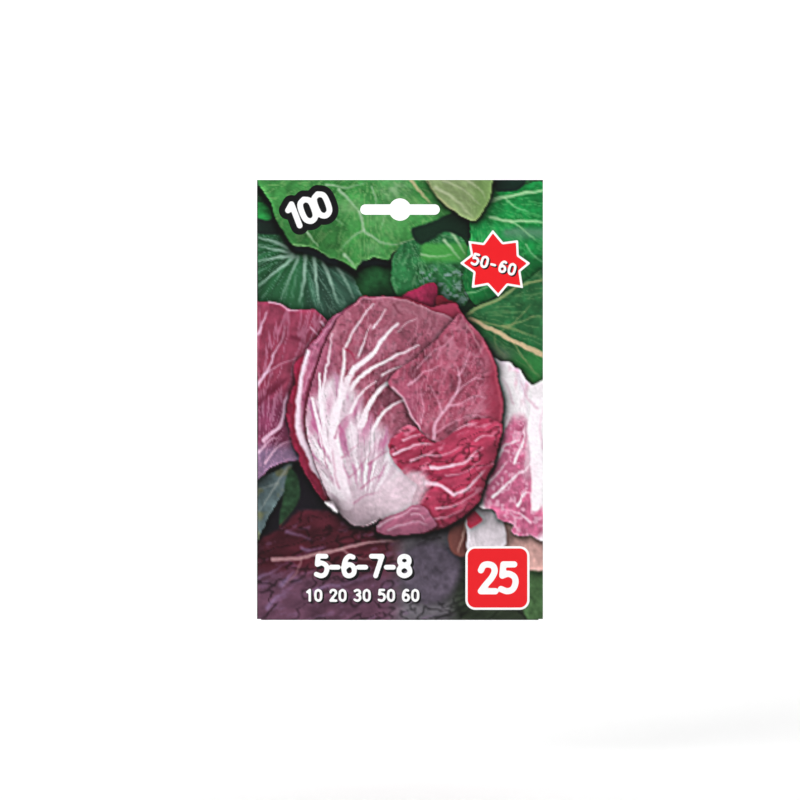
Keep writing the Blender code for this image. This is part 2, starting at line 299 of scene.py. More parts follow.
def paint_greens(p):
    """The green outer leaves behind the head."""
    everywhere = np.ones_like(p.down)
    p.ink[:] = (44, 98, 58)
    mottle(p, everywhere, 11, 2.6, 0.30)
    p.darken(smooth(30.0, 52.0, p.down) * smooth(70.0, 50.0, p.across), 0.35)

    mask, _ = p.leaf([(-4, 21), (6, 20.5), (14, 26), (22, 28), (31, 32), (38, 38), (42, 46), (48, 52),
                      (30, 62), (-4, 58)], (58, 116, 78), shadow=0.0)
    cool = smooth(14.0, 26.0, p.across) * smooth(30.0, 36.0, p.down)
    p.blend(mask * cool * 0.65, (92, 128, 118))
    p.darken(mask * (0.5 + 0.5 * p.streaks((17, 26), 9.0, 30.0, 21, 2)), 0.55)
    ribs(p, [(1.9, 0.5, [(15, 28.5), (8, 25.5), (0, 23)]), (1.6, 0.4, [(15, 29.5), (7, 28), (0, 26.5)]),
             (1.7, 0.5, [(14, 30.5), (7, 31.5), (0, 33)]), (1.5, 0.6, [(15, 31), (8, 36.5), (0, 43.5)]),
             (1.7, 0.5, [(19.5, 30), (19, 40), (17, 50)]), (1.7, 0.5, [(23, 31), (23.8, 40), (25, 50)]),
             (1.8, 0.5, [(26.5, 32), (30, 42), (33, 50)]), (1.2, 0.4, [(16.5, 31), (13, 40), (9, 49)]),
             (1.4, 0.4, [(32, 34), (36, 41), (39, 48)]), (1.5, 0.5, [(35, 33), (39, 38), (42, 47)])],
         (152, 182, 166), mask, 0.8, 0.6)
    network(p, mask, (17, 26), 3.4, 20.0, 24, (134, 168, 150), 0.32)

    mask, _ = p.leaf([(-3, 9), (3, 9.5), (7, 12), (7, 15), (3, 16.5), (-3, 16)], (44, 128, 66),
                     shadow=0.2)
    mottle(p, mask, 31, 1.6, 0.3)
    p.leaf([(-3, 15.5), (4, 16), (9, 14), (12, 19), (10, 22), (-3, 21)], (30, 44, 38), 0.6, 0.0)

    mask, _ = p.leaf([(5, -4), (72, -4), (78, 12), (77, 14.5), (70, 17.5), (66, 22), (62, 27),
                      (57, 28), (54.5, 29.5), (53, 32.3), (47, 31), (41, 34), (39.5, 36), (35, 33),
                      (30, 31.5), (22, 27), (14.5, 26), (10, 20), (6, 10)], (66, 130, 70),
                     shadow=0.88, spread=1.9, offset=(0.2, 2.4))
    mottle(p, mask, 35, 2.2, 0.24)
    network(p, mask, (44, -8), 4.0, 9.0, 36, (120, 164, 104), 0.45)
    p.darken(mask * smooth(6.0, 22.0, p.down) * smooth(42.0, 24.0, p.across), 0.22)
    for spot, reach, color in (((37, 11), 5.0, (142, 172, 128)), ((55, 4), 6.0, (150, 178, 142)),
                               ((50, 17), 8.0, (112, 158, 104)), ((47, 27), 4.0, (128, 168, 120)),
                               ((64, 10), 5.0, (104, 152, 92)), ((25, 15), 6.0, (58, 132, 70))):
        near = np.exp(-((p.across - spot[0]) ** 2 + (1.5 * (p.down - spot[1])) ** 2) / reach ** 2)
        p.blend(mask * near * (0.5 + 0.35 * p.noise(2.0, 37, 2)), color)
    ribs(p, [(1.5, 0.5, [(35, 30), (37.5, 32), (39.5, 35.5)]), (1.3, 0.5, [(33, 4), (38, 9), (42, 14)]),
             (1.2, 0.6, [(41.5, 13), (42.5, 17), (43, 20.5), (46, 22.5), (50, 25), (53, 26), (58, 25.5)]),
             (1.0, 0.4, [(58, 25.5), (62, 24.5), (66, 21), (68.5, 17)]),
             (1.2, 0.4, [(20, 21), (22, 24), (25, 27)]), (0.9, 0.4, [(18, 9), (27, 12), (35, 18)]),
             (0.9, 0.3, [(43, 20), (38, 23), (33, 29)]), (0.8, 0.3, [(46, 3), (48, 9), (47, 14)]),
             (0.8, 0.3, [(56, 8), (52, 13), (50, 20)]), (1.0, 0.4, [(28, 2), (36, 3), (44, 1)])],
         PALE_GREEN, mask, 0.7, 0.5)
    ribs(p, [(1.1, 0.5, [(14.5, 26), (22, 27.2), (30, 31.3), (35, 33)]),
             (1.0, 0.4, [(39.5, 35.6), (41, 33.6), (47, 30.8), (53, 32)]),
             (0.9, 0.5, [(54.5, 29.2), (62, 26.6), (66, 21.8)])], (124, 164, 112), mask, 0.7, 0.4)
    ribs(p, [(2.6, 1.0, [(43, 33.5), (48, 33), (53, 34)]),
             (2.0, 2.4, [(16, 27.5), (23, 29.5), (33, 34)])],
         GAP, 1.0, 0.75, 0.8)

    mask, _ = p.leaf([(57, 27), (64, 24), (70, 22), (78, 20), (83, 24), (86, 30), (86, 42), (84, 50),
                      (78, 52), (66, 50), (56, 46), (54, 36)], (48, 108, 66), shadow=0.35)
    mottle(p, mask, 41, 1.8, 0.34)
    network(p, mask, (60, 20), 5.0, 8.0, 42, (112, 156, 116), 0.45)
    p.blend(mask * smooth(64.0, 68.0, p.across) * smooth(24.0, 27.0, p.down)
            * smooth(35.0, 31.0, p.down), (74, 146, 74))
    speckle = smooth(-0.1, 0.5, p.noise(1.2, 43, 2))
    p.blend(mask * smooth(33.0, 38.0, p.down) * smooth(63.0, 68.0, p.across) * speckle * 0.75,
            (138, 164, 158))
    ribs(p, [(1.3, 0.5, [(75, 24), (78.5, 28), (82, 32)]), (1.5, 0.5, [(78, 20), (81, 25), (84, 30)]),
             (0.9, 0.4, [(66, 30), (72, 31), (79, 30)])], (158, 188, 150), mask, 0.8, 0.5)

    p.leaf([(62, 20), (70, 17), (76, 14), (84, 14), (90, 20), (86, 24), (76, 21), (66, 26)], (26, 48, 36),
           0.7, 0.0)
    mask, _ = p.leaf([(84, 4), (92, 5), (100, 4.5), (118, 3), (118, 40), (108, 42), (97, 46), (88, 50),
                      (83, 40), (86, 22)], (34, 128, 68), shadow=0.35)
    mottle(p, mask, 47, 2.4, 0.32)
    network(p, mask, (88, 8), 4.0, 9.0, 48, (96, 170, 104), 0.40)
    p.blend(mask * smooth(18.0, 21.0, p.down) * smooth(97.0, 101.0, p.across)
            * smooth(26.0, 21.0, p.down) * 0.8, (92, 134, 108))
    p.darken(mask * smooth(24.0, 34.0, p.down), 0.22)
    ribs(p, [(1.8, 0.9, [(93, 8.5), (97, 7.5), (105, 6), (117, 4)]),
             (1.4, 0.9, [(94, 15), (102, 16.6), (108, 16.5), (117, 17.5)]),
             (0.9, 0.4, [(102, 16.5), (107, 20), (112, 24)]),
             (0.8, 0.4, [(100, 7), (104, 11), (110, 13)]),
             (0.9, 0.4, [(88, 38), (94, 40), (101, 38)]), (0.8, 0.4, [(84, 46), (91, 44), (97, 41)]),
             (0.7, 0.4, [(108, 26), (112, 31), (117, 34)])], (150, 194, 146), mask, 0.8, 0.5)
    p.leaf([(96, -3), (107, -3), (107, 3), (101, 4.5), (96, 4)], (24, 46, 38), 0.6, 0.0)

    mask, _ = p.leaf([(69, -4), (93, -4), (94.3, 4), (93, 9), (90, 14), (86.5, 16.5), (80, 13.2),
                      (73, 7)], (128, 146, 104), shadow=0.7)
    mottle(p, mask, 53, 1.8, 0.16, 50, 2.2)
    p.blend(mask * smooth(84.0, 91.0, p.across) * 0.45, (96, 136, 70))
    ribs(p, [(1.4, 0.6, [(72, 3), (80, 8), (87, 15)]), (1.0, 0.5, [(75, 0), (83, 4), (90, 10)]),
             (1.0, 0.4, [(84, 0), (90, 4), (92, 8)])], (172, 180, 150), mask, 0.65, 0.6)
    ribs(p, [(1.3, 0.7, [(62, 0), (65, 4), (70, 9.5)]), (0.7, 0.4, [(68, 0), (73, 7), (80, 13)])],
         (176, 170, 130), 1.0, 0.8, 0.5)


def paint_right_leaves(p):
    """The broad green leaf under the star, with its tan midrib."""
    mask, _ = p.leaf([(82, 56), (84, 53.5), (90, 50.2), (97, 47), (103, 43.4), (107, 41.4), (118, 39.5),
                      (118, 92), (98, 88), (90, 70)], (48, 100, 62), shadow=0.55)
    mottle(p, mask, 61, 2.4, 0.26)
    p.blend(mask * smooth(62.0, 68.0, p.down - 0.45 * (p.across - 92)), (98, 118, 98))
    p.blend(mask * smooth(66.0, 74.0, p.down) * smooth(99.0, 105.0, p.across), (54, 122, 66))
    network(p, mask, (78, 52), 4.0, 16.0, 63, (112, 142, 94), 0.35)
    ribs(p, [(1.3, 1.0, [(83, 55), (90, 51), (97, 48), (103, 44), (107, 42), (117, 40)]),
             (1.0, 0.5, [(90, 57), (99, 59), (106, 57), (112, 55), (117, 55)]),
             (0.9, 0.4, [(99, 59), (106, 61), (113, 63)]), (0.8, 0.4, [(97, 62), (103, 58), (110, 50)]),
             (0.9, 0.4, [(103, 65), (108, 73), (114, 79)]), (0.7, 0.4, [(96, 61), (96, 66), (100, 71)])],
         (142, 150, 104), mask, 0.7, 0.5)
    ribs(p, [(1.4, 2.2, [(84, 55), (90, 58), (100, 63), (110, 68), (117, 72)])], (190, 172, 138), mask,
         0.9, 0.4)


def paint_undergrowth(p):
    """The dark leaves at the bottom, under the solid marks."""
    low = smooth(112.0, 116.0, p.down)
    p.blend(low, (30, 26, 33))
    mask, _ = p.leaf([(10, 140), (18, 133), (34, 134), (60, 140), (82, 140), (118, 150), (118, 182),
                      (-4, 182), (-4, 150)], (74, 32, 42), shadow=0.0, soft=1.2)
    p.blend(mask * smooth(154.0, 162.0, p.down), (88, 60, 76))
    p.blend(mask * smooth(50.0, 62.0, p.across), (96, 92, 98))
    p.blend(mask * smooth(74.0, 84.0, p.across) * smooth(148.0, 156.0, p.down), (44, 52, 40))
    mottle(p, mask, 71, 3.2, 0.34, -14, 2.0)
    crumple = smooth(0.15, 0.6, p.noise(2.0, 73, 3, 2.4, -16))
    p.blend(mask * crumple * 0.30 * smooth(84.0, 70.0, p.across), (132, 104, 138))
    ridge = smooth(0.1, 0.0, np.abs(p.noise(5.2, 77, 3, 2.0, -18)))
    p.darken(mask * ridge, 0.35)
    ribs(p, [(1.6, 1.0, [(6, 152.8), (15, 152.5), (25, 150.5), (33, 149), (40, 147), (48, 145.5),
                         (57, 145)]),
             (0.9, 0.4, [(25, 150.5), (30, 155), (38, 159)]),
             (0.8, 0.4, [(34, 149), (41, 152), (50, 153)]),
             (0.7, 0.3, [(18, 152), (16, 158), (10, 164)])], (172, 134, 138), mask, 0.8, 0.5)
    ribs(p, [(1.8, 0.6, [(10, 163), (12.5, 160), (15.5, 157)]),
             (1.8, 0.6, [(4, 172), (8, 168), (12, 166)]),
             (1.2, 0.5, [(12, 142), (17, 143), (22, 145)]), (1.4, 0.6, [(18, 148), (22, 149), (27, 148)]),
             (1.4, 0.4, [(22, 166), (30, 163), (38, 166)]), (1.2, 0.4, [(0, 160), (6, 158), (10, 155)])],
         (146, 122, 160), mask, 0.55, 0.9)
    lilac, _ = p.leaf([(60, 150), (68, 146), (77, 148), (82, 154), (80, 164), (72, 170), (63, 168),
                       (58, 160)], (84, 76, 88), soft=2.2, shadow=0.3)
    mottle(p, lilac, 79, 2.0, 0.28)
    stem, _ = p.leaf([(79, 136), (86, 136), (88, 142), (86, 150), (80, 151), (77, 145)], (112, 70, 66),
                     soft=0.6, shadow=0.4)
    ribs(p, [(1.2, 0.5, [(84, 137), (83, 143), (81, 150)])], (196, 160, 150), stem)
    green, _ = p.leaf([(107, 154), (112, 153), (118, 153), (118, 178), (110, 178), (106, 168)],
                      (66, 92, 60), soft=0.8, shadow=0.2)
    mottle(p, green, 83, 1.6, 0.3)

    mask, _ = p.leaf([(-4, 118), (2, 118.7), (6, 118), (10, 116), (14, 113.3), (13.4, 120), (12, 124.5),
                      (8, 130), (5, 135), (2, 141), (-4, 152)], (84, 98, 100), shadow=0.5)
    mottle(p, mask, 87, 2.2, 0.24, 60, 1.8)
    p.blend(mask * smooth(0.0, 0.5, p.noise(4.5, 89, 2)) * 0.6, (112, 110, 74))
    ribs(p, [(1.1, 0.5, [(13, 115), (7, 124), (0, 134)]), (0.8, 0.4, [(8, 122), (3, 124), (-1, 125)])],
         (146, 152, 148), mask, 0.6)
    p.stroke([(16, 128), (13, 134), (9, 140)], (0.9, 0.5), (150, 44, 58))
    fern, _ = p.leaf([(13, 117), (16.5, 120), (17, 128), (13, 135), (9, 139), (10, 130)], (40, 62, 44),
                     soft=0.7, shadow=0.0)
    mottle(p, fern, 91, 1.4, 0.35)


def paint_left_neighbour(p):
    """The head at the left edge, cut off by the fold."""
    mask, depth = p.leaf([(-4, 48.5), (0, 49), (5, 49), (9, 50), (14, 52.5), (17, 52.3), (22, 52),
                          (24.5, 53), (29, 57), (34, 64), (30, 84), (22, 112), (16, 113), (10, 114),
                          (5, 116), (-4, 118)], (142, 66, 88), shadow=0.6)
    p.blend(mask * smooth(80.0, 95.0, p.down), (120, 60, 86))
    p.blend(mask * smooth(104.0, 110.0, p.down), (132, 106, 134))
    mottle(p, mask, 101, 2.4, 0.22, 100, 1.6)
    network(p, mask, (2, 118), 3.0, 22.0, 103, (198, 150, 176), 0.38)
    ribs(p, [(3.2, 0.9, [(5, 85), (8, 83), (12.5, 79.5)]),
             (1.8, 0.5, [(14, 63.5), (17, 64.5), (20, 66.5)]),
             (2.4, 0.8, [(0, 90), (5, 86), (9, 80)]), (3.0, 2.0, [(15, 80), (12.5, 88), (13, 98)])],
         (96, 34, 54), mask, 0.6, 1.0)
    ribs(p, [(1.2, 0.6, [(0.5, 62), (2, 58), (4, 53)]), (0.9, 0.4, [(21.5, 59.5), (24.5, 62.5)]),
             (1.0, 0.5, [(25.8, 57), (27.5, 59.5)]), (1.5, 0.7, [(-1, 84), (4, 77), (7, 70)]),
             (1.8, 0.9, [(2.5, 105), (6, 102), (9, 99), (10.5, 95), (11, 90), (12.2, 86)]),
             (1.2, 0.5, [(0, 110), (5, 105), (9, 104)]), (1.0, 0.5, [(3, 114), (8, 108), (13, 105)]),
             (0.8, 0.3, [(6, 71), (10, 65), (12, 58)]), (0.7, 0.3, [(2, 79), (9, 74), (16, 72)])],
         LILAC_RIB, mask, 0.85, 0.5)
    p.stroke([(5, 49.2), (9, 50.3), (13, 52.6), (17, 52.8)], (0.8, 0.6), (206, 168, 186))


def paint_right_neighbour(p):
    """The head at the right edge: a white base, a broad midrib and a magenta field."""
    beige, _ = p.leaf([(96, 137), (104, 138), (118, 138), (118, 156), (104, 156), (98, 149)],
                      (206, 164, 158), soft=0.6, shadow=0.3)
    mottle(p, beige, 111, 1.8, 0.18)
    stalk, _ = p.leaf([(84, 136), (88, 132), (91, 130.5), (95, 133.5), (99, 138), (99, 148), (86, 150),
                       (84.5, 143)], (212, 203, 210), soft=0.5, shadow=0.4)
    mottle(p, stalk, 113, 2.0, 0.14, 80, 2.0)
    p.leaf([(85.5, 131), (88, 134), (90.5, 137), (86, 140.5), (84, 136)], (166, 60, 82), soft=0.4,
           shadow=0.3)
    mask, _ = p.leaf([(92, 72), (95.5, 71.3), (98, 73), (102, 73.5), (104, 75.5), (106, 76.5), (108, 80),
                      (111, 82.5), (118, 85), (118, 141), (110, 143), (106, 143.5), (102.5, 142),
                      (103, 139), (98, 137), (95, 133), (89, 130.5), (90, 110)], (228, 222, 226),
                     shadow=0.6)
    mottle(p, mask, 115, 2.0, 0.07, 100, 2.0)
    p.blend(mask * smooth(0.1, 0.5, p.streaks((112, 140), 5.0, 14.0, 116, 3)) * 0.5, (204, 190, 204))
    field = p.depth([(92, 97), (98, 99), (103, 96), (108, 99), (110, 108), (110, 120), (112, 131),
                     (118, 134), (118, 143), (104, 144), (92, 134), (90, 116)])
    rays = p.streaks((100, 160), 4.2, 14.0, 117, 3)
    cover = smooth(-3.0, 3.2, field + 3.4 * rays) * mask
    p.blend(cover, (184, 104, 134))
    mottle(p, cover, 119, 1.7, 0.24)
    p.blend(cover * smooth(0.05, 0.45, p.noise(1.7, 121, 2)) * 0.6, (220, 178, 196))
    shade_in = smooth(96.0, 80.0, p.down) * smooth(0.1, 0.5, rays)
    p.blend(mask * shade_in * 0.6, (206, 148, 172))
    ribs(p, [(1.4, 0.7, [(98.6, 101), (101, 97), (102, 92)]),
             (1.3, 0.6, [(96, 113), (98, 110), (99.5, 107),
                                                                        (102, 106), (106, 105)]),
             (1.2, 0.6, [(103.5, 114), (105, 110), (107, 106), (108, 99)]),
             (1.2, 0.5, [(95, 128), (98, 125), (102, 121), (105, 118), (108, 117), (111, 113)]),
             (1.1, 0.5, [(105, 131), (108, 126), (111, 126.5)]),
             (0.9, 0.5, [(93, 122), (97, 118), (101, 113)]),
             (3.6, 6.0, [(112, 132), (112.5, 118), (112, 100), (114, 86)]),
             (0.8, 0.4, [(110, 138), (105, 134), (99, 133)]),
             (0.8, 0.4, [(92, 108), (95, 104), (97, 99)])],
         (240, 232, 238), mask, 0.85, 0.5)
    ribs(p, [(0.9, 0.4, [(113, 92), (109, 88), (106, 81)]), (0.7, 0.3, [(103, 90), (101, 84), (98, 78)]),
             (0.8, 0.3, [(115, 108), (114, 98), (116, 90)])], (196, 150, 172), mask, 0.6, 0.6)


HEAD_OUTLINE = [(38.5, 50), (42, 47), (47, 47.3), (52, 46.8), (58, 47.3), (62, 48.3), (66, 49.5),
(70, 51),
                (75, 50), (80, 49.7), (81.5, 52), (84, 55), (87, 59), (90, 62.5), (93, 67), (95, 71),
                (96.5, 75), (97, 80), (98, 84), (99, 88), (99, 93), (98, 100), (97, 106), (96, 111),
                (94.5, 116), (92, 120), (91, 124), (89.5, 129), (86, 133), (82, 136), (78, 138.5),
                (74, 140.5), (68, 142), (60, 142.7), (55, 143), (50, 142.5), (48, 141), (50, 137),
                (46, 138), (43, 139), (39, 139), (36, 137), (33, 134), (31, 131), (29, 130), (27, 129),
                (23, 124), (20, 119), (17.2, 114), (16.8, 111), (14.3, 106), (13, 100), (12, 95),
                (12.3, 91), (14, 85), (15.3, 81), (15, 75), (17, 72), (20.3, 69.8), (21, 66.5),
                (24.5, 62.5), (27.5, 59), (30, 56), (35, 52.5)]
LEFT_LEAF = [(41, 49), (35, 52.5), (30, 56), (27.5, 59.5), (24.5, 63), (21, 67), (20, 70), (18.6, 74),
             (17.6, 79), (17.2, 84), (16.4, 90), (16, 95), (16.2, 100), (18, 106), (20.5, 111), (23, 117),
             (27, 122), (29, 126), (31, 124), (28, 114), (23, 104), (22, 96), (23, 88), (25, 80),
             (27, 73), (31, 64), (35, 57)]
WRAPPER = [(39, 50), (42, 47.6), (47, 47.6), (52, 47), (55, 47.5), (58, 48), (62, 49.2), (66, 50.4),
           (70, 52.4), (75, 54), (79, 56.5), (82, 62), (82, 74), (80, 88), (74, 104), (66, 118),
           (62, 130),
           (58, 136), (51, 135.7), (47, 138), (43, 139), (39, 139), (36, 137), (33, 134), (29.5, 128),
           (26, 121), (23, 113), (20.5, 104), (19.6, 96), (20.6, 89), (22, 83), (24, 76), (26.5, 69),
           (29.5, 62.5), (33, 56)]
RIGHT_LEAF = [(53, 82), (56, 77), (62, 73), (68, 68), (76, 60), (81, 54), (84, 55.5), (87, 59.5),
              (90, 63.5), (93, 68), (95, 72), (96.5, 76), (97, 81), (98, 86), (98.8, 92), (98, 100),
              (96, 110), (92, 119), (84, 124), (76, 120), (73, 110), (72, 105.3), (69, 104.3), (66, 102),
              (63.5, 97), (61, 93), (59, 88), (56, 85)]


def rosy(p, mask, color, seed, centre, amount=0.13):
    """A red leaf's skin: mauve with crumples, freckles and a fine network of pale veins."""
    p.blend(mask, color)
    mottle(p, mask, seed, 1.9, amount)
    network(p, mask, centre, 3.4, 11.0, seed + 7, (206, 150, 170), 0.34)
    freckle = smooth(0.25, 0.6, p.noise(0.9, seed + 11, 2))
    p.blend(mask * freckle * 0.20, (196, 140, 156))
    fold = p.streaks(centre, 8.0, 9.0, seed + 17, 3)
    p.darken(mask * smooth(0.0, 0.5, fold), 0.20)
    p.blend(mask * smooth(-0.15, -0.55, fold) * 0.45, (192, 134, 152))
    dark = smooth(0.22, 0.6, p.noise(1.3, seed + 13, 2))
    p.darken(mask * dark, 0.16)


def paint_head(p):
    """The round red head with its white base."""
    mask, _ = p.leaf([(56, 48.5), (58, 47), (62, 44.7), (66, 43), (70, 41.3), (71.8, 41.6), (72.6, 45),
                      (73, 54), (60, 53)], (158, 52, 86), shadow=0.6)
    mottle(p, mask, 131, 1.5, 0.22)
    p.darken(mask * smooth(66.0, 72.0, p.across), 0.25)
    second, _ = p.leaf([(72.3, 53), (72.5, 47.4), (74.5, 46.7), (77, 48.3), (80, 49.3), (81.5, 52.3),
                        (84, 56), (78, 58)], (122, 40, 56), shadow=0.5)
    mottle(p, second, 133, 1.4, 0.22)

    body, depth = p.leaf(HEAD_OUTLINE, (158, 64, 88), shadow=0.72, spread=1.6, offset=(0.3, 0.9))
    left_rim = body * smooth(4.8, 0.8, depth) * smooth(44.0, 30.0, p.across)
    p.blend(left_rim, (136, 44, 70))
    mottle(p, left_rim, 137, 1.3, 0.26)

    left, _ = p.leaf(LEFT_LEAF, (172, 100, 130), shadow=0.3, spread=1.0)
    rosy(p, left, (172, 98, 128), 141, (30, 128))
    p.blend(left * smooth(86.0, 104.0, p.down) * 0.8, (206, 178, 194))
    ribs(p, [(1.6, 2.6, [(20.8, 69), (19.4, 74), (17.9, 79), (17.3, 84), (16.5, 90), (16.2, 95),
                         (16.6, 100), (18.6, 106), (21, 111), (23, 116), (26.5, 121), (28.6, 126)])],
         (228, 206, 220), 1.0, 0.9, 0.5)
    ribs(p, [(0.8, 0.4, [(35.5, 53), (31, 57), (28, 60.5), (25, 64), (21.6, 68)]),
             (0.7, 0.3, [(19, 77), (21.5, 72), (24, 66)]),
             (0.7, 0.3, [(18.5, 86), (21, 79), (23.5, 73)])],
         (214, 160, 184), left, 0.8)
    ribs(p, [(1.0, 2.4, [(39.5, 49.5), (34.5, 54), (31, 59), (28, 65), (25, 72), (23, 78), (21, 84),
                         (20, 90), (19.4, 96), (20.2, 102), (22.6, 108), (26, 113.5)])], (120, 46, 70),
         1.0, 0.78, 0.7)

    wrapper, _ = p.leaf(WRAPPER, (162, 96, 114), shadow=0.45, spread=1.0, offset=(0.2, 0.3))
    rosy(p, wrapper, (150, 86, 104), 151, (40, 132), 0.17)
    top_light = smooth(66.0, 50.0, p.down) * smooth(40.0, 60.0, p.across)
    p.blend(wrapper * top_light * 0.5, (146, 98, 110))
    p.blend(wrapper * smooth(36.0, 26.0, p.across) * smooth(60.0, 70.0, p.down) * 0.5, (176, 104, 134))

    fan = p.depth([(21, 92), (24.5, 84), (29, 79.5), (33, 80), (36, 84), (39, 84), (42, 90), (45, 97),
                   (50, 101), (54, 108), (57, 114), (60, 120), (66, 121), (68, 127), (62, 133),
                   (54, 136), (44, 142), (33, 136), (25, 122), (19, 108), (18.5, 98)])
    rays = p.streaks((43, 136), 4.6, 16.0, 157, 3)
    rays *= smooth(4.0, 20.0, np.hypot(p.across - 43, p.down - 136))
    blush = p.streaks((43, 136), 9.0, 20.0, 159, 2)
    white = smooth(-3.4, 2.2, fan + 3.0 * rays + 1.4 * blush) * wrapper
    p.blend(white, (203, 184, 195))
    p.blend(white * smooth(124.0, 134.0, p.down), (182, 162, 172))
    mottle(p, white, 161, 1.8, 0.08)
    p.blend(white * smooth(0.08, 0.4, rays) * smooth(130.0, 108.0, p.down) * 0.8, (178, 112, 148))
    p.blend(white * smooth(-0.02, -0.35, rays) * 0.75, (234, 226, 232))
    thread = smooth(0.10, 0.0, np.abs(p.streaks((43, 138), 2.2, 20.0, 163, 2)))
    p.darken(white * thread * smooth(14.0, 34.0, np.hypot(p.across - 43, p.down - 138)), 0.16)
    for spot, reach, turn in (((22.5, 98), (2.2, 6.5), 12), ((44, 99.5), (2.6, 5.4), 28),
                              ((35, 99), (1.4, 5.6), 30), ((51, 106), (2.4, 4.8), 48),
                              ((29, 90), (1.5, 5.0), 10), ((40, 92), (1.8, 4.4), 22)):
        c, s = math.cos(math.radians(turn)), math.sin(math.radians(turn))
        x, y = p.across - spot[0], p.down - spot[1]
        near = np.exp(-((x * c + y * s) / reach[0]) ** 2 - ((y * c - x * s) / reach[1]) ** 2)
        p.blend(wrapper * near * (0.62 + 0.4 * rays), (184, 110, 146))

    ribs(p, [(2.0, 6.0, [(56.7, 58), (52, 62.3), (50, 65), (47, 69.5), (44, 72.5), (39.5, 76.5)])],
         (196, 146, 168), wrapper, 0.30, 1.6)
    ribs(p, [(0.8, 2.6, [(56.7, 58), (52, 62.3), (50, 65), (47, 69.5), (44, 72.5), (39.5, 76), (37, 80)]),
             (2.6, 5.6, [(37, 80), (34, 87), (31.4, 95), (31.2, 105), (33, 118), (36, 130)]),
             (1.1, 2.0, [(35, 68), (35, 75), (34.3, 80), (33, 88), (32, 96)]),
             (1.0, 2.2, [(25, 78), (25.5, 85), (26, 92), (27, 100), (29, 112)]),
             (0.8, 1.2, [(28, 74.5), (27, 81), (26.3, 87)]),
             (1.0, 2.0, [(22.4, 88), (24, 95), (27, 108)]),
             (0.5, 1.1, [(47, 50), (45, 52), (42, 56), (38.5, 61.5), (36, 66.5), (35, 69)]),
             (0.4, 1.0, [(46, 58.5), (44.5, 61), (43, 66), (40.7, 71.5)]),
             (0.6, 1.8, [(65, 66.5), (60, 69), (56, 70.5), (52, 73), (46, 76), (41, 80), (36, 86)]),
             (0.6, 1.3, [(48, 81), (44, 84), (40, 88.5), (37, 95)]),
             (0.5, 1.0, [(58, 75), (54, 76.5), (50, 79)]),
             (1.0, 2.8, [(57, 81), (53, 82), (50, 84), (47, 88), (44, 93), (41, 101)]),
             (0.7, 1.6, [(59.5, 88.5), (57, 89.5), (53, 92), (50, 95), (47, 101)]),
             (0.5, 0.9, [(30.5, 62), (29.5, 68), (28.5, 75)]),
             (0.5, 0.9, [(52, 52), (49, 57), (46.5, 60)]),
             (0.3, 0.5, [(64, 56), (60, 58), (56, 62)])],
         WHITE_RIB, wrapper, 0.88, 0.40)
    ribs(p, [(0.7, 0.3, [(34, 112), (38, 108.5), (41, 106)]),
             (0.8, 0.4, [(42, 124), (45, 121.5), (50, 119)]),
             (0.8, 0.4, [(45, 114.5), (49, 111), (53, 109)]),
             (0.7, 0.3, [(37, 120), (42, 115), (46, 109)]),
             (0.9, 0.4, [(31.5, 104), (33, 99), (36, 95.5), (38.5, 94)]),
             (0.6, 0.3, [(28, 116), (27, 108), (25, 101)]),
             (0.6, 0.3, [(39, 130), (44, 127), (52, 125)]),
             (0.6, 0.3, [(33, 124), (31, 116), (30.4, 108)])],
         (164, 92, 124), wrapper, 0.7, 0.5)
    p.stroke([(35.5, 68), (38, 69.5), (39.5, 73)], (0.9, 0.6), (150, 48, 76), wrapper, 0.8)
    p.stroke([(55, 50), (57, 53), (59.5, 54.5)], (0.9, 0.5), (112, 58, 72), wrapper, 0.8)
    ribs(p, [(0.7, 0.5, [(39, 50.4), (42, 48), (47, 48), (52, 47.4), (58, 48.2), (62, 49.3), (66, 50.7)]),
             (0.5, 0.4, [(66, 50.7), (70, 52.6), (75, 54.4), (79, 57)])], (202, 158, 172), 1.0, 0.65, 0.4)

    right, depth = p.leaf(RIGHT_LEAF, (168, 94, 114), shadow=0.42, spread=1.3, offset=(-0.6, 0.5))
    rosy(p, right, (156, 82, 102), 171, (62, 122), 0.20)
    p.blend(right * smooth(74.0, 90.0, p.down) * smooth(70.0, 60.0, p.across) * 0.4, (176, 104, 132))
    p.blend(right * smooth(90.0, 96.0, p.across) * 0.75, (150, 54, 76))
    ribs(p, [(0.9, 0.8, [(54.6, 83.6), (57, 86), (59.2, 88.6), (61.2, 93), (63.6, 97), (66.2, 101.6)])],
         (220, 186, 200), 1.0, 0.8, 0.45)
    ribs(p, [(1.5, 0.6, [(71, 104), (72, 98), (74.5, 94), (77.5, 90), (80, 86), (81.6, 82), (81.2, 77.5),
                         (80, 74)]),
                         (0.9, 0.4, [(61, 82.5), (64, 80.5), (67, 77.5), (70, 76.5), (74, 74.5)]),
             (0.8, 0.4, [(80, 86), (84, 82), (88, 80), (92, 80)]),
             (0.7, 0.3, [(81, 79), (84, 74), (86, 68)]),
             (0.7, 0.3, [(74.5, 94), (73, 89), (70, 84)]),
             (0.8, 0.3, [(77, 91), (82, 90), (88, 87), (93, 88)]),
             (0.7, 0.3, [(66, 98), (67, 92), (66, 86)]),
             (0.6, 0.3, [(72, 102), (80, 97), (88, 95), (94, 97)]),
             (0.6, 0.3, [(72, 72), (75, 67), (80, 62)]), (0.6, 0.3, [(64, 76), (70, 70), (76, 66)])],
         (218, 170, 190), right, 0.8, 0.45)
    ribs(p, [(0.9, 0.5, [(84.5, 58), (87, 62), (89, 66), (91, 70.5)]),
             (0.8, 0.4, [(86, 58.5), (90, 62.8), (92.5, 68)])],
         (204, 150, 162), 1.0, 0.6, 0.4)
    edge = smooth(1.6, 0.2, depth) * right * smooth(82.0, 90.0, p.across)
    p.blend(edge * 0.5, (196, 100, 118))

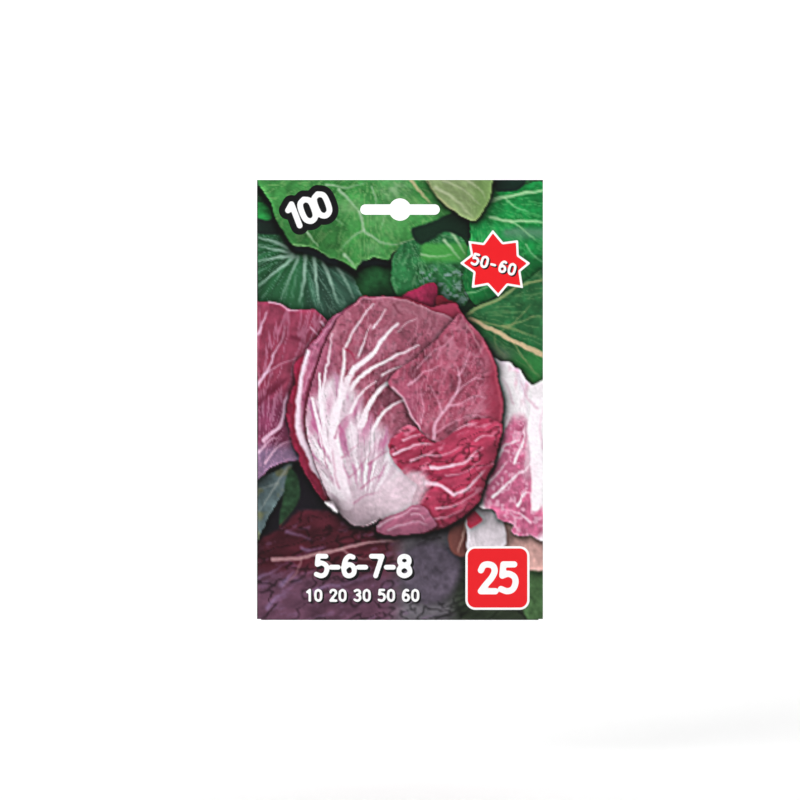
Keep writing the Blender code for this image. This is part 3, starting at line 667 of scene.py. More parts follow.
    crumple, _ = p.leaf([(57, 101), (61, 98.5), (66, 101.8), (71, 105.6), (76, 104), (82, 99), (90, 96),
                         (98.3, 98), (97, 106), (96, 111), (94.5, 116), (92, 120), (91, 124), (89.5, 129),
                         (86, 133), (82, 136), (78, 138.3), (73, 140), (67, 139), (62, 133), (66, 125),
                         (60, 119), (55, 113), (53, 106)], (168, 66, 92), shadow=0.25, spread=0.9)
    mottle(p, crumple, 181, 2.3, 0.24, -24, 2.2)
    fold = smooth(0.2, 0.62, p.noise(1.9, 183, 3, 2.6, -26))
    p.blend(crumple * fold * 0.6, (212, 142, 164))
    deep = smooth(0.12, 0.0, np.abs(p.noise(4.2, 187, 3, 1.8, -22)))
    p.darken(crumple * deep, 0.34)
    ribs(p, [(0.9, 0.5, [(59, 104.6), (62, 103.4), (66, 102.3)]),
             (1.2, 0.6, [(55, 110.6), (58, 109), (61, 108), (64, 106.5), (71, 106.5)]),
             (1.5, 0.6, [(70, 115.7), (75, 115.6), (80, 114.5), (84, 113.5), (87, 110.5), (89.4, 108.6)]),
             (0.9, 0.5, [(77, 102.2), (80, 100.4), (84, 98.6), (87, 98.5)]),
             (1.6, 0.8, [(68, 122), (73, 122.6), (77, 125), (79, 126.5), (81, 126), (85, 124), (89, 120),
                         (92, 116.6)]), (0.8, 0.4, [(62, 113), (68, 111), (75, 110.5), (82, 107)]),
             (0.9, 0.4, [(72, 132), (78, 131.5), (84, 129), (89, 125)]),
             (0.8, 0.4, [(88, 105), (91, 103), (95, 103)]), (0.7, 0.3, [(76, 119), (83, 118), (90, 113)]),
             (0.8, 0.3, [(70, 136.5), (77, 135.5), (84, 132)])], (232, 196, 212), crumple, 0.85, 0.45)
    ribs(p, [(1.4, 0.6, [(63, 116), (70, 118.5), (78, 119.5), (86, 117)]),
             (1.2, 0.5, [(73, 128.5), (80, 129), (87, 126)]),
             (1.0, 0.5, [(72, 112.5), (80, 111), (86, 107.5)])],
         (116, 34, 58), crumple, 0.6, 0.7)

    core = p.depth([(50, 124), (56, 119), (62, 116.5), (67, 118), (69, 123), (66, 128), (64, 133),
                    (58, 137),
                    (50, 137.5), (45, 133)])
    base = smooth(-2.4, 1.8, core + 1.8 * p.streaks((40, 132), 7.0, 12.0, 191, 3)) * body
    p.blend(base * 0.85, (208, 188, 198))
    mottle(p, base, 193, 1.7, 0.12)
    curl, _ = p.leaf([(48.2, 141), (49, 138.6), (52, 135.6), (57, 134.2), (62, 131), (67, 131.5),
    (70, 135),
                      (72, 139.6), (66, 142.2), (58, 142.8), (52, 142.8)], (164, 100, 124), shadow=0.4,
                     spread=0.9)
    mottle(p, curl, 197, 1.6, 0.2, -20, 1.6)
    ribs(p, [(1.0, 0.5, [(49, 139.6), (53, 136.6), (58, 135.3), (62, 132.3), (66, 132.6)]),
             (0.8, 0.4, [(53, 141), (59, 138.6), (65, 137.6), (69, 139)]),
             (0.7, 0.3, [(62, 134.6), (65.6, 134.6), (67.6, 137)])], (226, 196, 210), curl, 0.8, 0.4)
    p.leaf([(27, 130), (30, 129.3), (31.6, 131), (32.2, 133.6), (29.6, 132.4)], (214, 196, 206), 0.3, 0.3)

    round_side = np.exp(-np.maximum(p.depth(HEAD_OUTLINE, 1.0), 0.0) / 3.0) * body
    p.darken(round_side * smooth(96.0, 128.0, p.down), 0.34)
    p.darken(round_side * smooth(60.0, 92.0, p.across), 0.14)


def paint_picture(cell):
    """The whole picture, back to front."""
    picture = Picture(WIDTH, HEIGHT, cell)
    paint_greens(picture)
    paint_right_leaves(picture)
    paint_undergrowth(picture)
    paint_left_neighbour(picture)
    paint_right_neighbour(picture)
    paint_head(picture)
    grit = picture.noise(0.55, 211, 2)
    picture.ink *= (1.0 + 0.05 * grit)[..., None]
    picture.ink += 0.9 * (picture.ink - blur(picture.ink, 1))
    grey = picture.ink.mean(2, keepdims=True)
    picture.ink = 118 + 1.10 * (grey - 118) + 1.14 * (picture.ink - grey)
    np.clip(picture.ink, 0, 255, out=picture.ink)
    return picture


# ---------------------------------------------------------------- solid marks over the picture

# Round-ended strokes of each digit in a box one unit high, across and down. True means a curve.
DIGITS = {
    "0": [(True, [(0.3, 0), (0.08, 0.14), (0.03, 0.5), (0.08, 0.86), (0.3, 1), (0.52, 0.86),
                  (0.57, 0.5), (0.52, 0.14), (0.3, 0)])],
    "1": [(False, [(0.14, 0.2), (0.38, 0.0), (0.38, 1.0)])],
    "2": [(True, [(0.04, 0.22), (0.14, 0.04), (0.32, 0), (0.5, 0.07), (0.55, 0.26), (0.44, 0.5),
                  (0.22, 0.76), (0.04, 1)]), (False, [(0.04, 1), (0.58, 1)])],
    "3": [(True, [(0.05, 0.1), (0.28, 0), (0.5, 0.1), (0.51, 0.33), (0.26, 0.46)]),
          (True, [(0.26, 0.46), (0.5, 0.55), (0.56, 0.76), (0.44, 0.95), (0.25, 1), (0.03, 0.9)])],
    "4": [(False, [(0.43, 1), (0.43, 0), (0.02, 0.68), (0.6, 0.68)])],
    "5": [(False, [(0.52, 0), (0.12, 0), (0.08, 0.42)]),
          (True, [(0.08, 0.42), (0.3, 0.35), (0.52, 0.46), (0.57, 0.68), (0.47, 0.92), (0.26, 1),
                  (0.03, 0.92)])],
    "6": [(True, [(0.5, 0.05), (0.3, 0), (0.1, 0.22), (0.03, 0.62), (0.1, 0.92), (0.3, 1), (0.51, 0.9),
                  (0.56, 0.68), (0.46, 0.48), (0.28, 0.43), (0.07, 0.58)])],
    "7": [(False, [(0.03, 0), (0.57, 0), (0.24, 1)])],
    "8": [(True, [(0.3, 0.46), (0.08, 0.34), (0.09, 0.1), (0.3, 0), (0.51, 0.1), (0.52, 0.34),
                  (0.3, 0.46)]),
          (True, [(0.3, 0.46), (0.07, 0.6), (0.04, 0.86), (0.3, 1), (0.56, 0.86), (0.53, 0.6),
                  (0.3, 0.46)])],
    "9": [(True, [(0.1, 0.95), (0.3, 1), (0.5, 0.78), (0.57, 0.38), (0.5, 0.08), (0.3, 0), (0.09, 0.1),
                  (0.04, 0.32), (0.14, 0.52), (0.32, 0.57), (0.53, 0.42)])],
    "-": [(False, [(0.08, 0.56), (0.44, 0.56)])],
}
STAR_TIPS = [(94.8, 20.0), (105.0, 24.2), (110.0, 33.5), (107.0, 43.5), (97.0, 47.0), (86.3, 43.5),
             (81.5, 33.5), (85.0, 24.5)]
STAR_NOTCHES = [(99.0, 25.0), (105.3, 30.2), (106.0, 36.8), (100.8, 42.5), (92.7, 42.3), (87.0, 37.3),
                (86.0, 30.0), (91.0, 25.3)]
OUTLINE = 0.9


def number_strokes(text, left, top, height, pitch, tilt=0.0, space=0.5):
    """Lines of a row of digits from its top left corner, tilted clockwise by degrees."""
    c, s = math.cos(math.radians(tilt)), math.sin(math.radians(tilt))
    lines, place = [], 0.0
    for sign in text:
        for curved, points in DIGITS.get(sign, []):
            run = spline(points, 5) if curved else np.array(points, float)
            x, y = place + run[:, 0] * height, run[:, 1] * height
            lines.append(np.stack([left + x * c - y * s, top + x * s + y * c], -1))
        place += pitch * (space if sign == " " else 1.0)
    return lines


def away_from(lines, across, down):
    """Distance from each point to the nearest of some lines."""
    best = np.full(across.shape, 1e3)
    for line in lines:
        low, high = line.min(0) - 6.0, line.max(0) + 6.0
        near = ((across > low[0]) & (across < high[0]) & (down > low[1]) & (down < high[1]))
        x, y = across[near], down[near]
        closest = best[near]
        for (ax, ay), (bx, by) in zip(line[:-1], line[1:]):
            dx, dy = bx - ax, by - ay
            t = np.clip(((x - ax) * dx + (y - ay) * dy) / max(dx * dx + dy * dy, 1e-9), 0.0, 1.0)
            closest = np.minimum(closest, np.hypot(x - ax - t * dx, y - ay - t * dy))
        best[near] = closest
    return best


def within(points, across, down):
    """How far inside a straight-sided outline each point is; negative outside."""
    ring = np.array(points + points[:1], float)
    inside = np.zeros(across.shape, bool)
    for (ax, ay), (bx, by) in zip(ring[:-1], ring[1:]):
        if ay != by:
            inside ^= ((ay > down) != (by > down)) & (across < (bx - ax) * (down - ay) / (by - ay) + ax)
    away = away_from([ring], across, down)
    return np.where(inside, away, -away)


def rounded_box(low, high, radius, across, down):
    """How far inside a box with round corners each point is."""
    centre, half = (np.add(low, high)) / 2, np.subtract(high, low) / 2 - radius
    x, y = np.abs(across - centre[0]) - half[0], np.abs(down - centre[1]) - half[1]
    outside = np.hypot(np.maximum(x, 0.0), np.maximum(y, 0.0))
    return radius - outside - np.minimum(np.maximum(x, y), 0.0)


def front_marks(colors):
    """The inks laid over the picture in order: a name, its depth inside, and its colour."""
    badge = number_strokes("100", 10.6, 11.0, 9.2, 6.0, -21.0)
    star_number = number_strokes("50-60", 87.2, 29.6, 4.2, 3.8, 15.0)
    title = number_strokes("5-6-7-8", 23.6, 151.3, 7.9, 5.55)
    row = number_strokes("10 20 30 50 60", 19.6, 164.9, 4.3, 3.75, 0.0, 0.6)
    plaque_number = number_strokes("25", 89.6, 154.6, 10.8, 8.2)
    star = [corner for pair in zip(STAR_TIPS, STAR_NOTCHES) for corner in pair]
    plaque_low, plaque_high = (83.8, 147.3), (109.6, 172.9)

    def under_black(x, y):
        blob = 3.7 - away_from(badge, x, y)
        shadow = np.maximum(1.15 - away_from(title, x - 0.8, y - 0.8),
                            0.62 - away_from(row, x - 0.55, y - 0.55))
        return np.maximum(blob, shadow)

    def under_white(x, y):
        digits = np.maximum(1.15 - away_from(badge, x, y), 0.98 - away_from(title, x, y))
        digits = np.maximum(digits, 0.50 - away_from(row, x, y))
        signs = np.maximum(within(star, x, y), rounded_box(plaque_low, plaque_high, 4.0, x, y))
        return np.maximum(digits, signs)

    def star_ink(x, y):
        return within(star, x, y) - OUTLINE

    def plaque_ink(x, y):
        return rounded_box(plaque_low, plaque_high, 4.0, x, y) - OUTLINE

    def over_black(x, y):
        return 0.6 - away_from(star_number, x - 0.45, y - 0.45)

    def over_white(x, y):
        return np.maximum(0.5 - away_from(star_number, x, y), 1.25 - away_from(plaque_number, x, y))

    black, white = tuple(colors.badge), tuple(colors.lettering)
    return [("under_black", under_black, black), ("under_white", under_white, white),
            ("star_ink", star_ink, tuple(colors.star)), ("plaque_ink", plaque_ink, tuple(colors.plaque)),
            ("over_black", over_black, black), ("over_white", over_white, white)]


# ---------------------------------------------------------------- folded paper

def swell(x, z):
    """How full the pouch is, from 0 along its folds to 1."""
    across = np.clip(2 * (x - MIDDLE) / WIDTH, -1.0, 1.0)
    down = np.clip((POUCH_TOP - z) / (POUCH_TOP - FOOT), 0.0, 1.0) ** SWELL_SKEW
    return (1.0 - across ** 2) ** 2 * np.sin(np.pi * down) ** 2


def inset(low, high, value, width):
    """0 within width of either end of a range, rising to 1 in its middle."""
    return smooth(0.0, width, value - low) * smooth(0.0, width, high - value)


def dents(x, z, depth, seed):
    """Soft hollows of thin paper over loose seeds, and long shallow waves. Never above the sheet."""
    pocket = inset(-32.0, 32.0, x, 12.0) * inset(-142.0, -80.0, z, 12.0)
    rows = 0.5 + 0.5 * grain(x / 3.1 + 40, z / 3.1 + 90, seed, 2)
    waves = 0.5 + 0.5 * grain(x / 26.0 + 11, z / 34.0 + 57, seed + 5, 2)
    edge = inset(LEFT, RIGHT, x, 7.0) * inset(FOOT, POUCH_TOP, z, 7.0)
    return depth * edge * (0.55 * rows * pocket + 0.9 * waves)


def front_depth(x, z, dent=0.0):
    return -HALF_PITCH - FRONT_SWELL * swell(x, z) + dents(x, z, dent, 41)


def back_depth(x, z, dent=0.0):
    return HALF_PITCH + BACK_SWELL * swell(x, z) - dents(x, z, dent, 77)


def arc(centre, radius, start, end, count):
    """Stops round a fold: where each lies, and which way its outer side faces."""
    angles = np.radians(np.linspace(start, end, count + 1))
    return [((centre[0] + radius * math.cos(a), centre[1] + radius * math.sin(a)),
             (math.cos(a), math.sin(a))) for a in angles]


def even(low, high, count):
    return list(np.linspace(low, high, count + 1))


class Sheet:
    """A sheet of paper built as a fine outer side, a coarse inner side and the cut edges between."""

    def __init__(self):
        self.points = []
        self.faces = []
        self.finish = []

    def side(self, points):
        """Store a grid of points (columns, rows, 3) and return their numbers."""
        start = sum(len(block) for block in self.points)
        self.points.append(points.reshape(-1, 3))
        return start + np.arange(points.shape[0] * points.shape[1]).reshape(points.shape[:2])

    def fill(self, numbers, finish):
        quads = np.stack([numbers[:-1, :-1], numbers[1:, :-1], numbers[1:, 1:], numbers[:-1, 1:]], -1)
        self.faces += quads.reshape(-1, 4).tolist()
        self.finish += [finish] * (quads.shape[0] * quads.shape[1])

    def edge(self, outer, inner, stops, finish):
        """Close a cut edge: inner points stand only at the outer points numbered in stops."""
        for number, (start, end) in enumerate(zip(stops[:-1], stops[1:])):
            rim = [int(inner[number]), int(inner[number + 1])]
            self.faces.append(rim + [int(p) for p in outer[start:end + 1][::-1]])
            self.finish.append(finish)

    def make(self, name, materials):
        mesh = bpy.data.meshes.new(name)
        mesh.from_pydata(np.vstack(self.points) * MM, [], self.faces)
        mesh.polygons.foreach_set("material_index", np.array(self.finish, np.int32))
        for material in materials:
            mesh.materials.append(material)
        bm = bmesh.new()
        bm.from_mesh(mesh)
        bmesh.ops.recalc_face_normals(bm, faces=bm.faces)
        bm.to_mesh(mesh)
        bm.free()
        return link(name, mesh)


def link(name, mesh):
    obj = bpy.data.objects.new(name, mesh)
    bpy.context.scene.collection.objects.link(obj)
    return obj


def slot_outline():
    """Corner points (x, z) of the hanging slot, anticlockwise."""
    end = SLOT_HALF_WIDTH - SLOT_HALF_BAR
    meet = math.degrees(math.asin(SLOT_HALF_BAR / SLOT_HOLE))
    arcs = [arc((end, 0.0), SLOT_HALF_BAR, -90, 90, 20),
            arc((0.0, 0.0), SLOT_HOLE, meet, 180 - meet, 28),
            arc((-end, 0.0), SLOT_HALF_BAR, 90, 270, 20),
            arc((0.0, 0.0), SLOT_HOLE, 180 + meet, 360 - meet, 28)]
    return [place for run in arcs for place, _ in run]


def punch_slot(obj, edge_material):
    """Punch the hanging slot. The cutter's own material is what the cut edge of the paper shows."""
    bm = bmesh.new()
    face = bm.faces.new([bm.verts.new((x * MM, -3 * MM, z * MM)) for x, z in slot_outline()])
    moved = bmesh.ops.extrude_face_region(bm, geom=[face])["geom"]
    moved = [item for item in moved if isinstance(item, bmesh.types.BMVert)]
    bmesh.ops.translate(bm, vec=Vector((0.0, 6 * MM, 0.0)), verts=moved)
    bmesh.ops.recalc_face_normals(bm, faces=bm.faces)
    mesh = bpy.data.meshes.new(obj.name + "_punch")
    bm.to_mesh(mesh)
    bm.free()
    mesh.materials.append(edge_material)
    punch = link(mesh.name, mesh)
    cut = obj.modifiers.new("Hanging slot", "BOOLEAN")
    cut.operation, cut.solver, cut.object = "DIFFERENCE", "EXACT", punch
    cut.material_mode = "TRANSFER"
    settle(obj)
    bpy.data.objects.remove(punch)
    bpy.data.meshes.remove(mesh)


def settle(obj):
    """Turn an object's modifiers into its plain mesh."""
    graph = bpy.context.evaluated_depsgraph_get()
    plain = bpy.data.meshes.new_from_object(obj.evaluated_get(graph), depsgraph=graph)
    old = obj.data
    obj.modifiers.clear()
    obj.data = plain
    bpy.data.meshes.remove(old)
    plain.name = obj.name


def panel_columns(cells):
    """Columns across a panel, with stops at the corner reliefs."""
    return np.concatenate([even(LEFT, LEFT + CORNER_RELIEF, 3),
                           even(LEFT + CORNER_RELIEF, RIGHT - CORNER_RELIEF, cells)[1:],
                           even(RIGHT - CORNER_RELIEF, RIGHT, 3)[1:]])


def stops_of(count, step, keep=()):
    """Numbers from 0 to count - 1, one in every step and always those in keep."""
    return np.array(sorted(set(range(0, count, step)) | {count - 1} | set(keep)))


def front_point(column, z, side, dent):
    """Points down one column of the front sheet. side is 1 for the outer face and -1 inside."""
    kind, value = column
    offset = side * HALF_PAPER
    if kind == "panel":
        return np.stack([np.full_like(z, value), front_depth(value, z, dent) - offset, z], -1)
    if kind == "fold":
        (x, y), (out_x, out_y) = value
        return np.stack([np.full_like(z, x + offset * out_x), np.full_like(z, y + offset * out_y), z],
                        -1)
    x = RIGHT - SEAM_FLAP * value
    low, high = FOOT + MITRE * value, TOP - SEAM_TOP_TAPER * value
    height = low + (high - low) * (z - FOOT) / (TOP - FOOT)
    depth = back_depth(x, height) + PLY_PITCH + offset
    return np.stack([np.full_like(z, x), depth, height], -1)


def foot_point(row, x, side):
    """Points along one row of the bottom fold or flap."""
    kind, value = row
    offset = side * HALF_PAPER
    if kind == "fold":
        (y, z), (out_y, out_z) = value
        return np.stack([x, np.full_like(x, y + offset * out_y), np.full_like(x, z + offset * out_z)],
                        -1)
    across = (x - LEFT) / (RIGHT - LEFT)
    slant_left, slant_right = 3.0, SEAM_FLAP + CORNER_RELIEF
    moved = x + value * (slant_left + (-slant_right - slant_left) * across)
    z = np.full_like(x, FOOT + BOTTOM_FLAP * value)
    return np.stack([moved, back_depth(moved, z) + PLY_PITCH + offset, z], -1)


def make_front_sheet(name, cell, dent, materials):
    """The front panel with the fold to the seam flap and the fold to the bottom flap."""
    across = panel_columns(int(round((RIGHT - LEFT) / cell)))
    down = np.linspace(TOP, FOOT, int(round((TOP - FOOT) / cell)) + 1)
    left_fold = arc((LEFT, 0.0), HALF_PITCH, 180, 270, 4)[:-1]
    right_fold = arc((RIGHT, HALF_PITCH), PLY_PITCH, -90, 90, 8)[1:]
    columns = ([("fold", stop) for stop in left_fold] + [("panel", x) for x in across]
               + [("fold", stop) for stop in right_fold]
               + [("flap", share) for share in even(0.0, 1.0, 9)[1:]])
    first = len(left_fold)
    low_end, high_end = first + 3, first + len(across) - 4
    keep = set(range(first + 1)) | {low_end, high_end} | set(range(first + len(across) - 1,
                                                                   len(columns)))
    column_stops = stops_of(len(columns), 14, keep)
    row_stops = stops_of(len(down), 14)
    sheet = Sheet()
    outer = sheet.side(np.stack([front_point(column, down, 1, dent) for column in columns]))
    inner = sheet.side(np.stack([front_point(columns[i], down[row_stops], -1, dent)
                                 for i in column_stops]))
    sheet.fill(outer, 0)
    sheet.fill(inner, 1)

    foot_fold = arc((HALF_PITCH, FOOT), PLY_PITCH, 180, 360, 8)[1:]
    rows = [("fold", stop) for stop in foot_fold] + [("flap", s) for s in even(0.0, 1.0, 12)[1:]]
    x = np.array([columns[i][1] for i in range(low_end, high_end + 1)])
    inner_ends = [int(np.searchsorted(column_stops, end)) for end in (low_end, high_end)]
    hinge = column_stops[inner_ends[0]:inner_ends[1] + 1]
    foot_outer = sheet.side(np.stack([foot_point(row, x, 1) for row in rows]))
    foot_inner = sheet.side(np.stack([foot_point(row, x[hinge - low_end], -1) for row in rows]))
    foot_outer = np.vstack([outer[low_end:high_end + 1, -1][None], foot_outer])
    foot_inner = np.vstack([inner[inner_ends[0]:inner_ends[1] + 1, -1][None], foot_inner])
    sheet.fill(foot_outer, 0)
    sheet.fill(foot_inner, 1)

    every = np.arange(len(rows) + 1)
    sheet.edge(outer[0], inner[0], row_stops, 2)
    sheet.edge(outer[-1], inner[-1], row_stops, 2)
    sheet.edge(outer[:, 0], inner[:, 0], column_stops, 2)
    sheet.edge(outer[:low_end + 1, -1], inner[:inner_ends[0] + 1, -1],
               column_stops[:inner_ends[0] + 1], 2)
    sheet.edge(outer[high_end:, -1], inner[inner_ends[1]:, -1],
               column_stops[inner_ends[1]:] - high_end, 2)
    sheet.edge(foot_outer[:, 0], foot_inner[:, 0], every, 2)
    sheet.edge(foot_outer[:, -1], foot_inner[:, -1], every, 2)
    sheet.edge(foot_outer[-1], foot_inner[-1], hinge - low_end, 2)
    return sheet.make(name, materials)


def make_back_sheet(name, cell, dent, materials):
    """The back panel, from the left fold to its free edge under the seam flap."""
    down = np.linspace(TOP, FOOT, int(round((TOP - FOOT) / cell)) + 1)
    fold = arc((LEFT, 0.0), HALF_PITCH, 180, 90, 4)
    across = even(LEFT, BACK_EDGE, int(round((BACK_EDGE - LEFT) / cell)))[1:]

    def point(column, z, side):
        kind, value = column
        offset = side * HALF_PAPER
        if kind == "fold":
            (x, y), (out_x, out_y) = value
            return np.stack([np.full_like(z, x + offset * out_x),
                             np.full_like(z, y + offset * out_y), z], -1)
        return np.stack([np.full_like(z, value), back_depth(value, z, dent) + offset, z], -1)

    columns = [("fold", stop) for stop in fold] + [("panel", x) for x in across]
    column_stops = stops_of(len(columns), 12, range(len(fold)))
    row_stops = stops_of(len(down), 12)
    sheet = Sheet()
    outer = sheet.side(np.stack([point(column, down, 1) for column in columns]))
    inner = sheet.side(np.stack([point(columns[i], down[row_stops], -1) for i in column_stops]))
    sheet.fill(outer, 0)
    sheet.fill(inner, 1)
    for end in (0, -1):
        sheet.edge(outer[end], inner[end], row_stops, 2)
        sheet.edge(outer[:, end], inner[:, end], column_stops, 2)
    return sheet.make(name, materials)


def shade(obj, angle=35.0):
    obj.data.shade_smooth()
    obj.data.set_sharp_from_angle(angle=math.radians(angle))


# ---------------------------------------------------------------- finishes

class Value:
    """An output of a shader node, which Python's operators turn into Math nodes."""

    def __init__(self, finish, socket):
        self.finish, self.socket = finish, socket

    def math(self, operation, *others):
        return self.finish.node("ShaderNodeMath", {"operation": operation}, [self, *others])

    def __add__(self, other):
        return self.math("ADD", other)

    def __radd__(self, other):
        return self.math("ADD", other)

    def __mul__(self, other):
        return self.math("MULTIPLY", other)

    def __rmul__(self, other):
        return self.math("MULTIPLY", other)

    def __sub__(self, other):
        return self.math("SUBTRACT", other)

    def __rsub__(self, other):
        return self.finish.node("ShaderNodeMath", {"operation": "SUBTRACT"}, [other, self])

    def step(self, low, high):
        """0 below low and 1 above high, with an even ramp between."""
        ramp = {"interpolation_type": "SMOOTHSTEP"}
        if low < high:
            return self.finish.node("ShaderNodeMapRange", ramp,
                                    {"Value": self, "From Min": low, "From Max": high})
        return 1.0 - self.finish.node("ShaderNodeMapRange", ramp,
                                      {"Value": self, "From Min": high, "From Max": low})


class Finish:
    """A material while its nodes are laid."""

    def __init__(self, name):
        self.material = bpy.data.materials.new(name)
        self.material.use_nodes = True
        self.nodes = self.material.node_tree.nodes
        self.links = self.material.node_tree.links
        self.shader = self.nodes["Principled BSDF"]

    def node(self, kind, settings=None, inputs=None, output=0):
        """Add any node: its settings come first, then the values or links of its sockets."""
        node = self.nodes.new(kind)
        for name, value in (settings or {}).items():
            if name == "stops":
                self.set_stops(node.color_ramp, value)
            else:
                setattr(node, name, value)
        pairs = inputs.items() if isinstance(inputs, dict) else enumerate(inputs or [])
        for name, value in pairs:
            self.plug(node.inputs[name], value)
        return Value(self, node.outputs[output])

    def plug(self, socket, value):
        if isinstance(value, Value):
            self.links.new(value.socket, socket)
        elif isinstance(value, tuple) and len(value) == 3 and socket.type == "RGBA":
            socket.default_value = (*value, 1.0)
        else:
            socket.default_value = value

    def set_stops(self, ramp, stops):
        while len(ramp.elements) < len(stops):
            ramp.elements.new(1.0)
        for element, (place, color) in zip(ramp.elements, stops):
            element.position = place
            element.color = (*color, 1.0)

    def place(self):
        return self.node("ShaderNodeTexCoord", output="Object")

    def stored(self, name, output="Fac"):
        """A value or colour kept on the piece's own points."""
        kind = {"attribute_type": "GEOMETRY", "attribute_name": name}
        return self.node("ShaderNodeAttribute", kind, output=output)

    def noise(self, size, detail=2.0, roughness=0.5, place=None, output="Fac", **more):
        """Noise whose features are size millimetres across."""
        sockets = {"Vector": place or self.place(), "Scale": 1.0 / (size * MM), "Detail": detail,
                   "Roughness": roughness, **more}
        return self.node("ShaderNodeTexNoise", {}, sockets, output)

    def stretched(self, x, y, z):
        """The place on the piece with each direction shortened or drawn out."""
        return self.node("ShaderNodeMapping", {}, {"Vector": self.place(), "Scale": (x, y, z)})

    def mix(self, share, below, above):
        """Mix two colours."""
        return self.node("ShaderNodeMix", {"data_type": "RGBA"}, {0: share, 6: below, 7: above}, 2)

    def bump(self, height, strength, distance):
        return self.node("ShaderNodeBump", {}, {"Height": height, "Strength": strength,
                                                "Distance": distance * MM})

    def set(self, **sockets):
        """Set or link the surface's own sockets, named with _ for each space."""
        for name, value in sockets.items():
            self.plug(self.shader.inputs[name.replace("_", " ")], value)
        return self.material


def linear(color):
    """Colour-picker values from 0 to 255, made the linear values that materials work with."""
    share = np.asarray(color, float) / 255.0
    return np.where(share <= 0.04045, share / 12.92, ((share + 0.055) / 1.055) ** 2.4)


def ink(color):
    return tuple(float(part) for part in linear(color))


def paper_fibre(finish):
    """Shared grain of the sheet: fine fibres and a faint cloudy formation."""
    fibre = finish.noise(0.35, 3.0, 0.6, finish.stretched(1.0, 1.0, 0.45))
    cloud = finish.noise(7.0, 2.0, 0.5)
    return fibre, cloud


def coated_print(marks):
    """The printed side: picture ink, solid marks over it, and bare white where ink ends."""
    finish = Finish("coated_print")
    fibre, cloud = paper_fibre(finish)
    dots = finish.noise(0.22, 1.0, 0.5)
    picture = finish.stored("picture", "Color")
    tint = (dots * 0.10 + 0.95)
    color = finish.node("ShaderNodeVectorMath", {"operation": "SCALE"},
                        {0: picture, "Scale": tint})
    for layer, paint in marks:
        cover = finish.stored(layer).step(-0.09, 0.09)
        color = finish.mix(cover, color, paint)
    bare = finish.mix(cloud, (0.70, 0.70, 0.69), (0.77, 0.77, 0.765))
    inked = finish.stored("inked").step(-0.15, 0.15)
    color = finish.mix(inked, bare, color)
    rough = fibre * 0.10 + cloud * 0.06 + 0.40
    height = fibre * 0.5 + finish.noise(2.4, 2.0, 0.5) * 0.5
    return finish.set(Base_Color=color, Roughness=rough, Normal=finish.bump(height, 0.10, 0.05),
                      Specular_IOR_Level=0.18)


def plain_paper():
    """The uncoated inside of the sheet."""
    finish = Finish("uncoated_paper")
    fibre, cloud = paper_fibre(finish)
    color = finish.mix(fibre, (0.55, 0.54, 0.51), (0.68, 0.675, 0.65))
    color = finish.mix(cloud * 0.35, color, (0.60, 0.585, 0.55))
    return finish.set(Base_Color=color, Roughness=fibre * 0.15 + 0.72,
                      Normal=finish.bump(fibre, 0.25, 0.04))


def cut_paper():
    """The cut edge of the sheet: short torn fibres across a white core."""
    finish = Finish("cut_paper_edge")
    fibre = finish.noise(0.12, 3.0, 0.7)
    color = finish.mix(fibre, (0.72, 0.71, 0.69), (0.90, 0.895, 0.88))
    return finish.set(Base_Color=color, Roughness=fibre * 0.1 + 0.8,
                      Normal=finish.bump(fibre, 0.4, 0.03))


def dry_glue():
    finish = Finish("dry_glue")
    blot = finish.noise(3.0, 4.0, 0.6)
    color = finish.mix(blot, (0.70, 0.62, 0.43), (0.86, 0.81, 0.66))
    return finish.set(Base_Color=color, Roughness=blot * 0.25 + 0.2,
                      Normal=finish.bump(blot, 0.3, 0.05))


def foil_laminate():
    """Silvery laminate: fine rolling lines, a crinkle, and diamonds pressed into the sealed border."""
    finish = Finish("foil_laminate")
    low, high = part_box("sachet_front_film")
    across = finish.node("ShaderNodeSeparateXYZ", {}, {"Vector": finish.place()}, "X")
    height = finish.node("ShaderNodeSeparateXYZ", {}, {"Vector": finish.place()}, "Z")
    side = across.math("ABSOLUTE") - (high[0] - SEAL) * MM
    top = height - (high[2] - SEAL) * MM
    foot = (low[2] + SEAL) * MM - height
    border = side.math("MAXIMUM", top).math("MAXIMUM", foot).step(0.0, 0.4 * MM)
    pitch = 2 * math.pi / (1.6 * MM)
    rising = ((across + height) * pitch).math("SINE")
    falling = ((across - height) * pitch).math("SINE")
    diamonds = (rising * falling * 0.5 + 0.5) * border
    crinkle = finish.noise(5.0, 5.0, 0.62)
    rolled = finish.noise(0.5, 2.0, 0.5, finish.stretched(0.04, 1.0, 1.0))
    relief = diamonds * 0.6 + crinkle * 0.6 + rolled * 0.06
    color = finish.mix(crinkle, (0.66, 0.67, 0.69), (0.86, 0.87, 0.88))
    return finish.set(Base_Color=color, Metallic=1.0, Roughness=crinkle * 0.16 + rolled * 0.08 + 0.16,
                      Normal=finish.bump(relief, 0.5, 0.25))


def seed_husk():
    """Ribbed tan husks, a little different from seed to seed."""
    finish = Finish("seed_husk")
    shade_of = finish.stored("seed_tone")
    streak = finish.noise(0.18, 3.0, 0.6)
    color = finish.node("ShaderNodeValToRGB", {"stops": [
        (0.0, (0.16, 0.095, 0.045)), (0.45, (0.33, 0.22, 0.115)), (1.0, (0.56, 0.43, 0.26))]},
        {"Fac": shade_of * 0.7 + streak * 0.3}, "Color")
    return finish.set(Base_Color=color, Roughness=streak * 0.2 + 0.55,
                      Normal=finish.bump(streak, 0.5, 0.08))


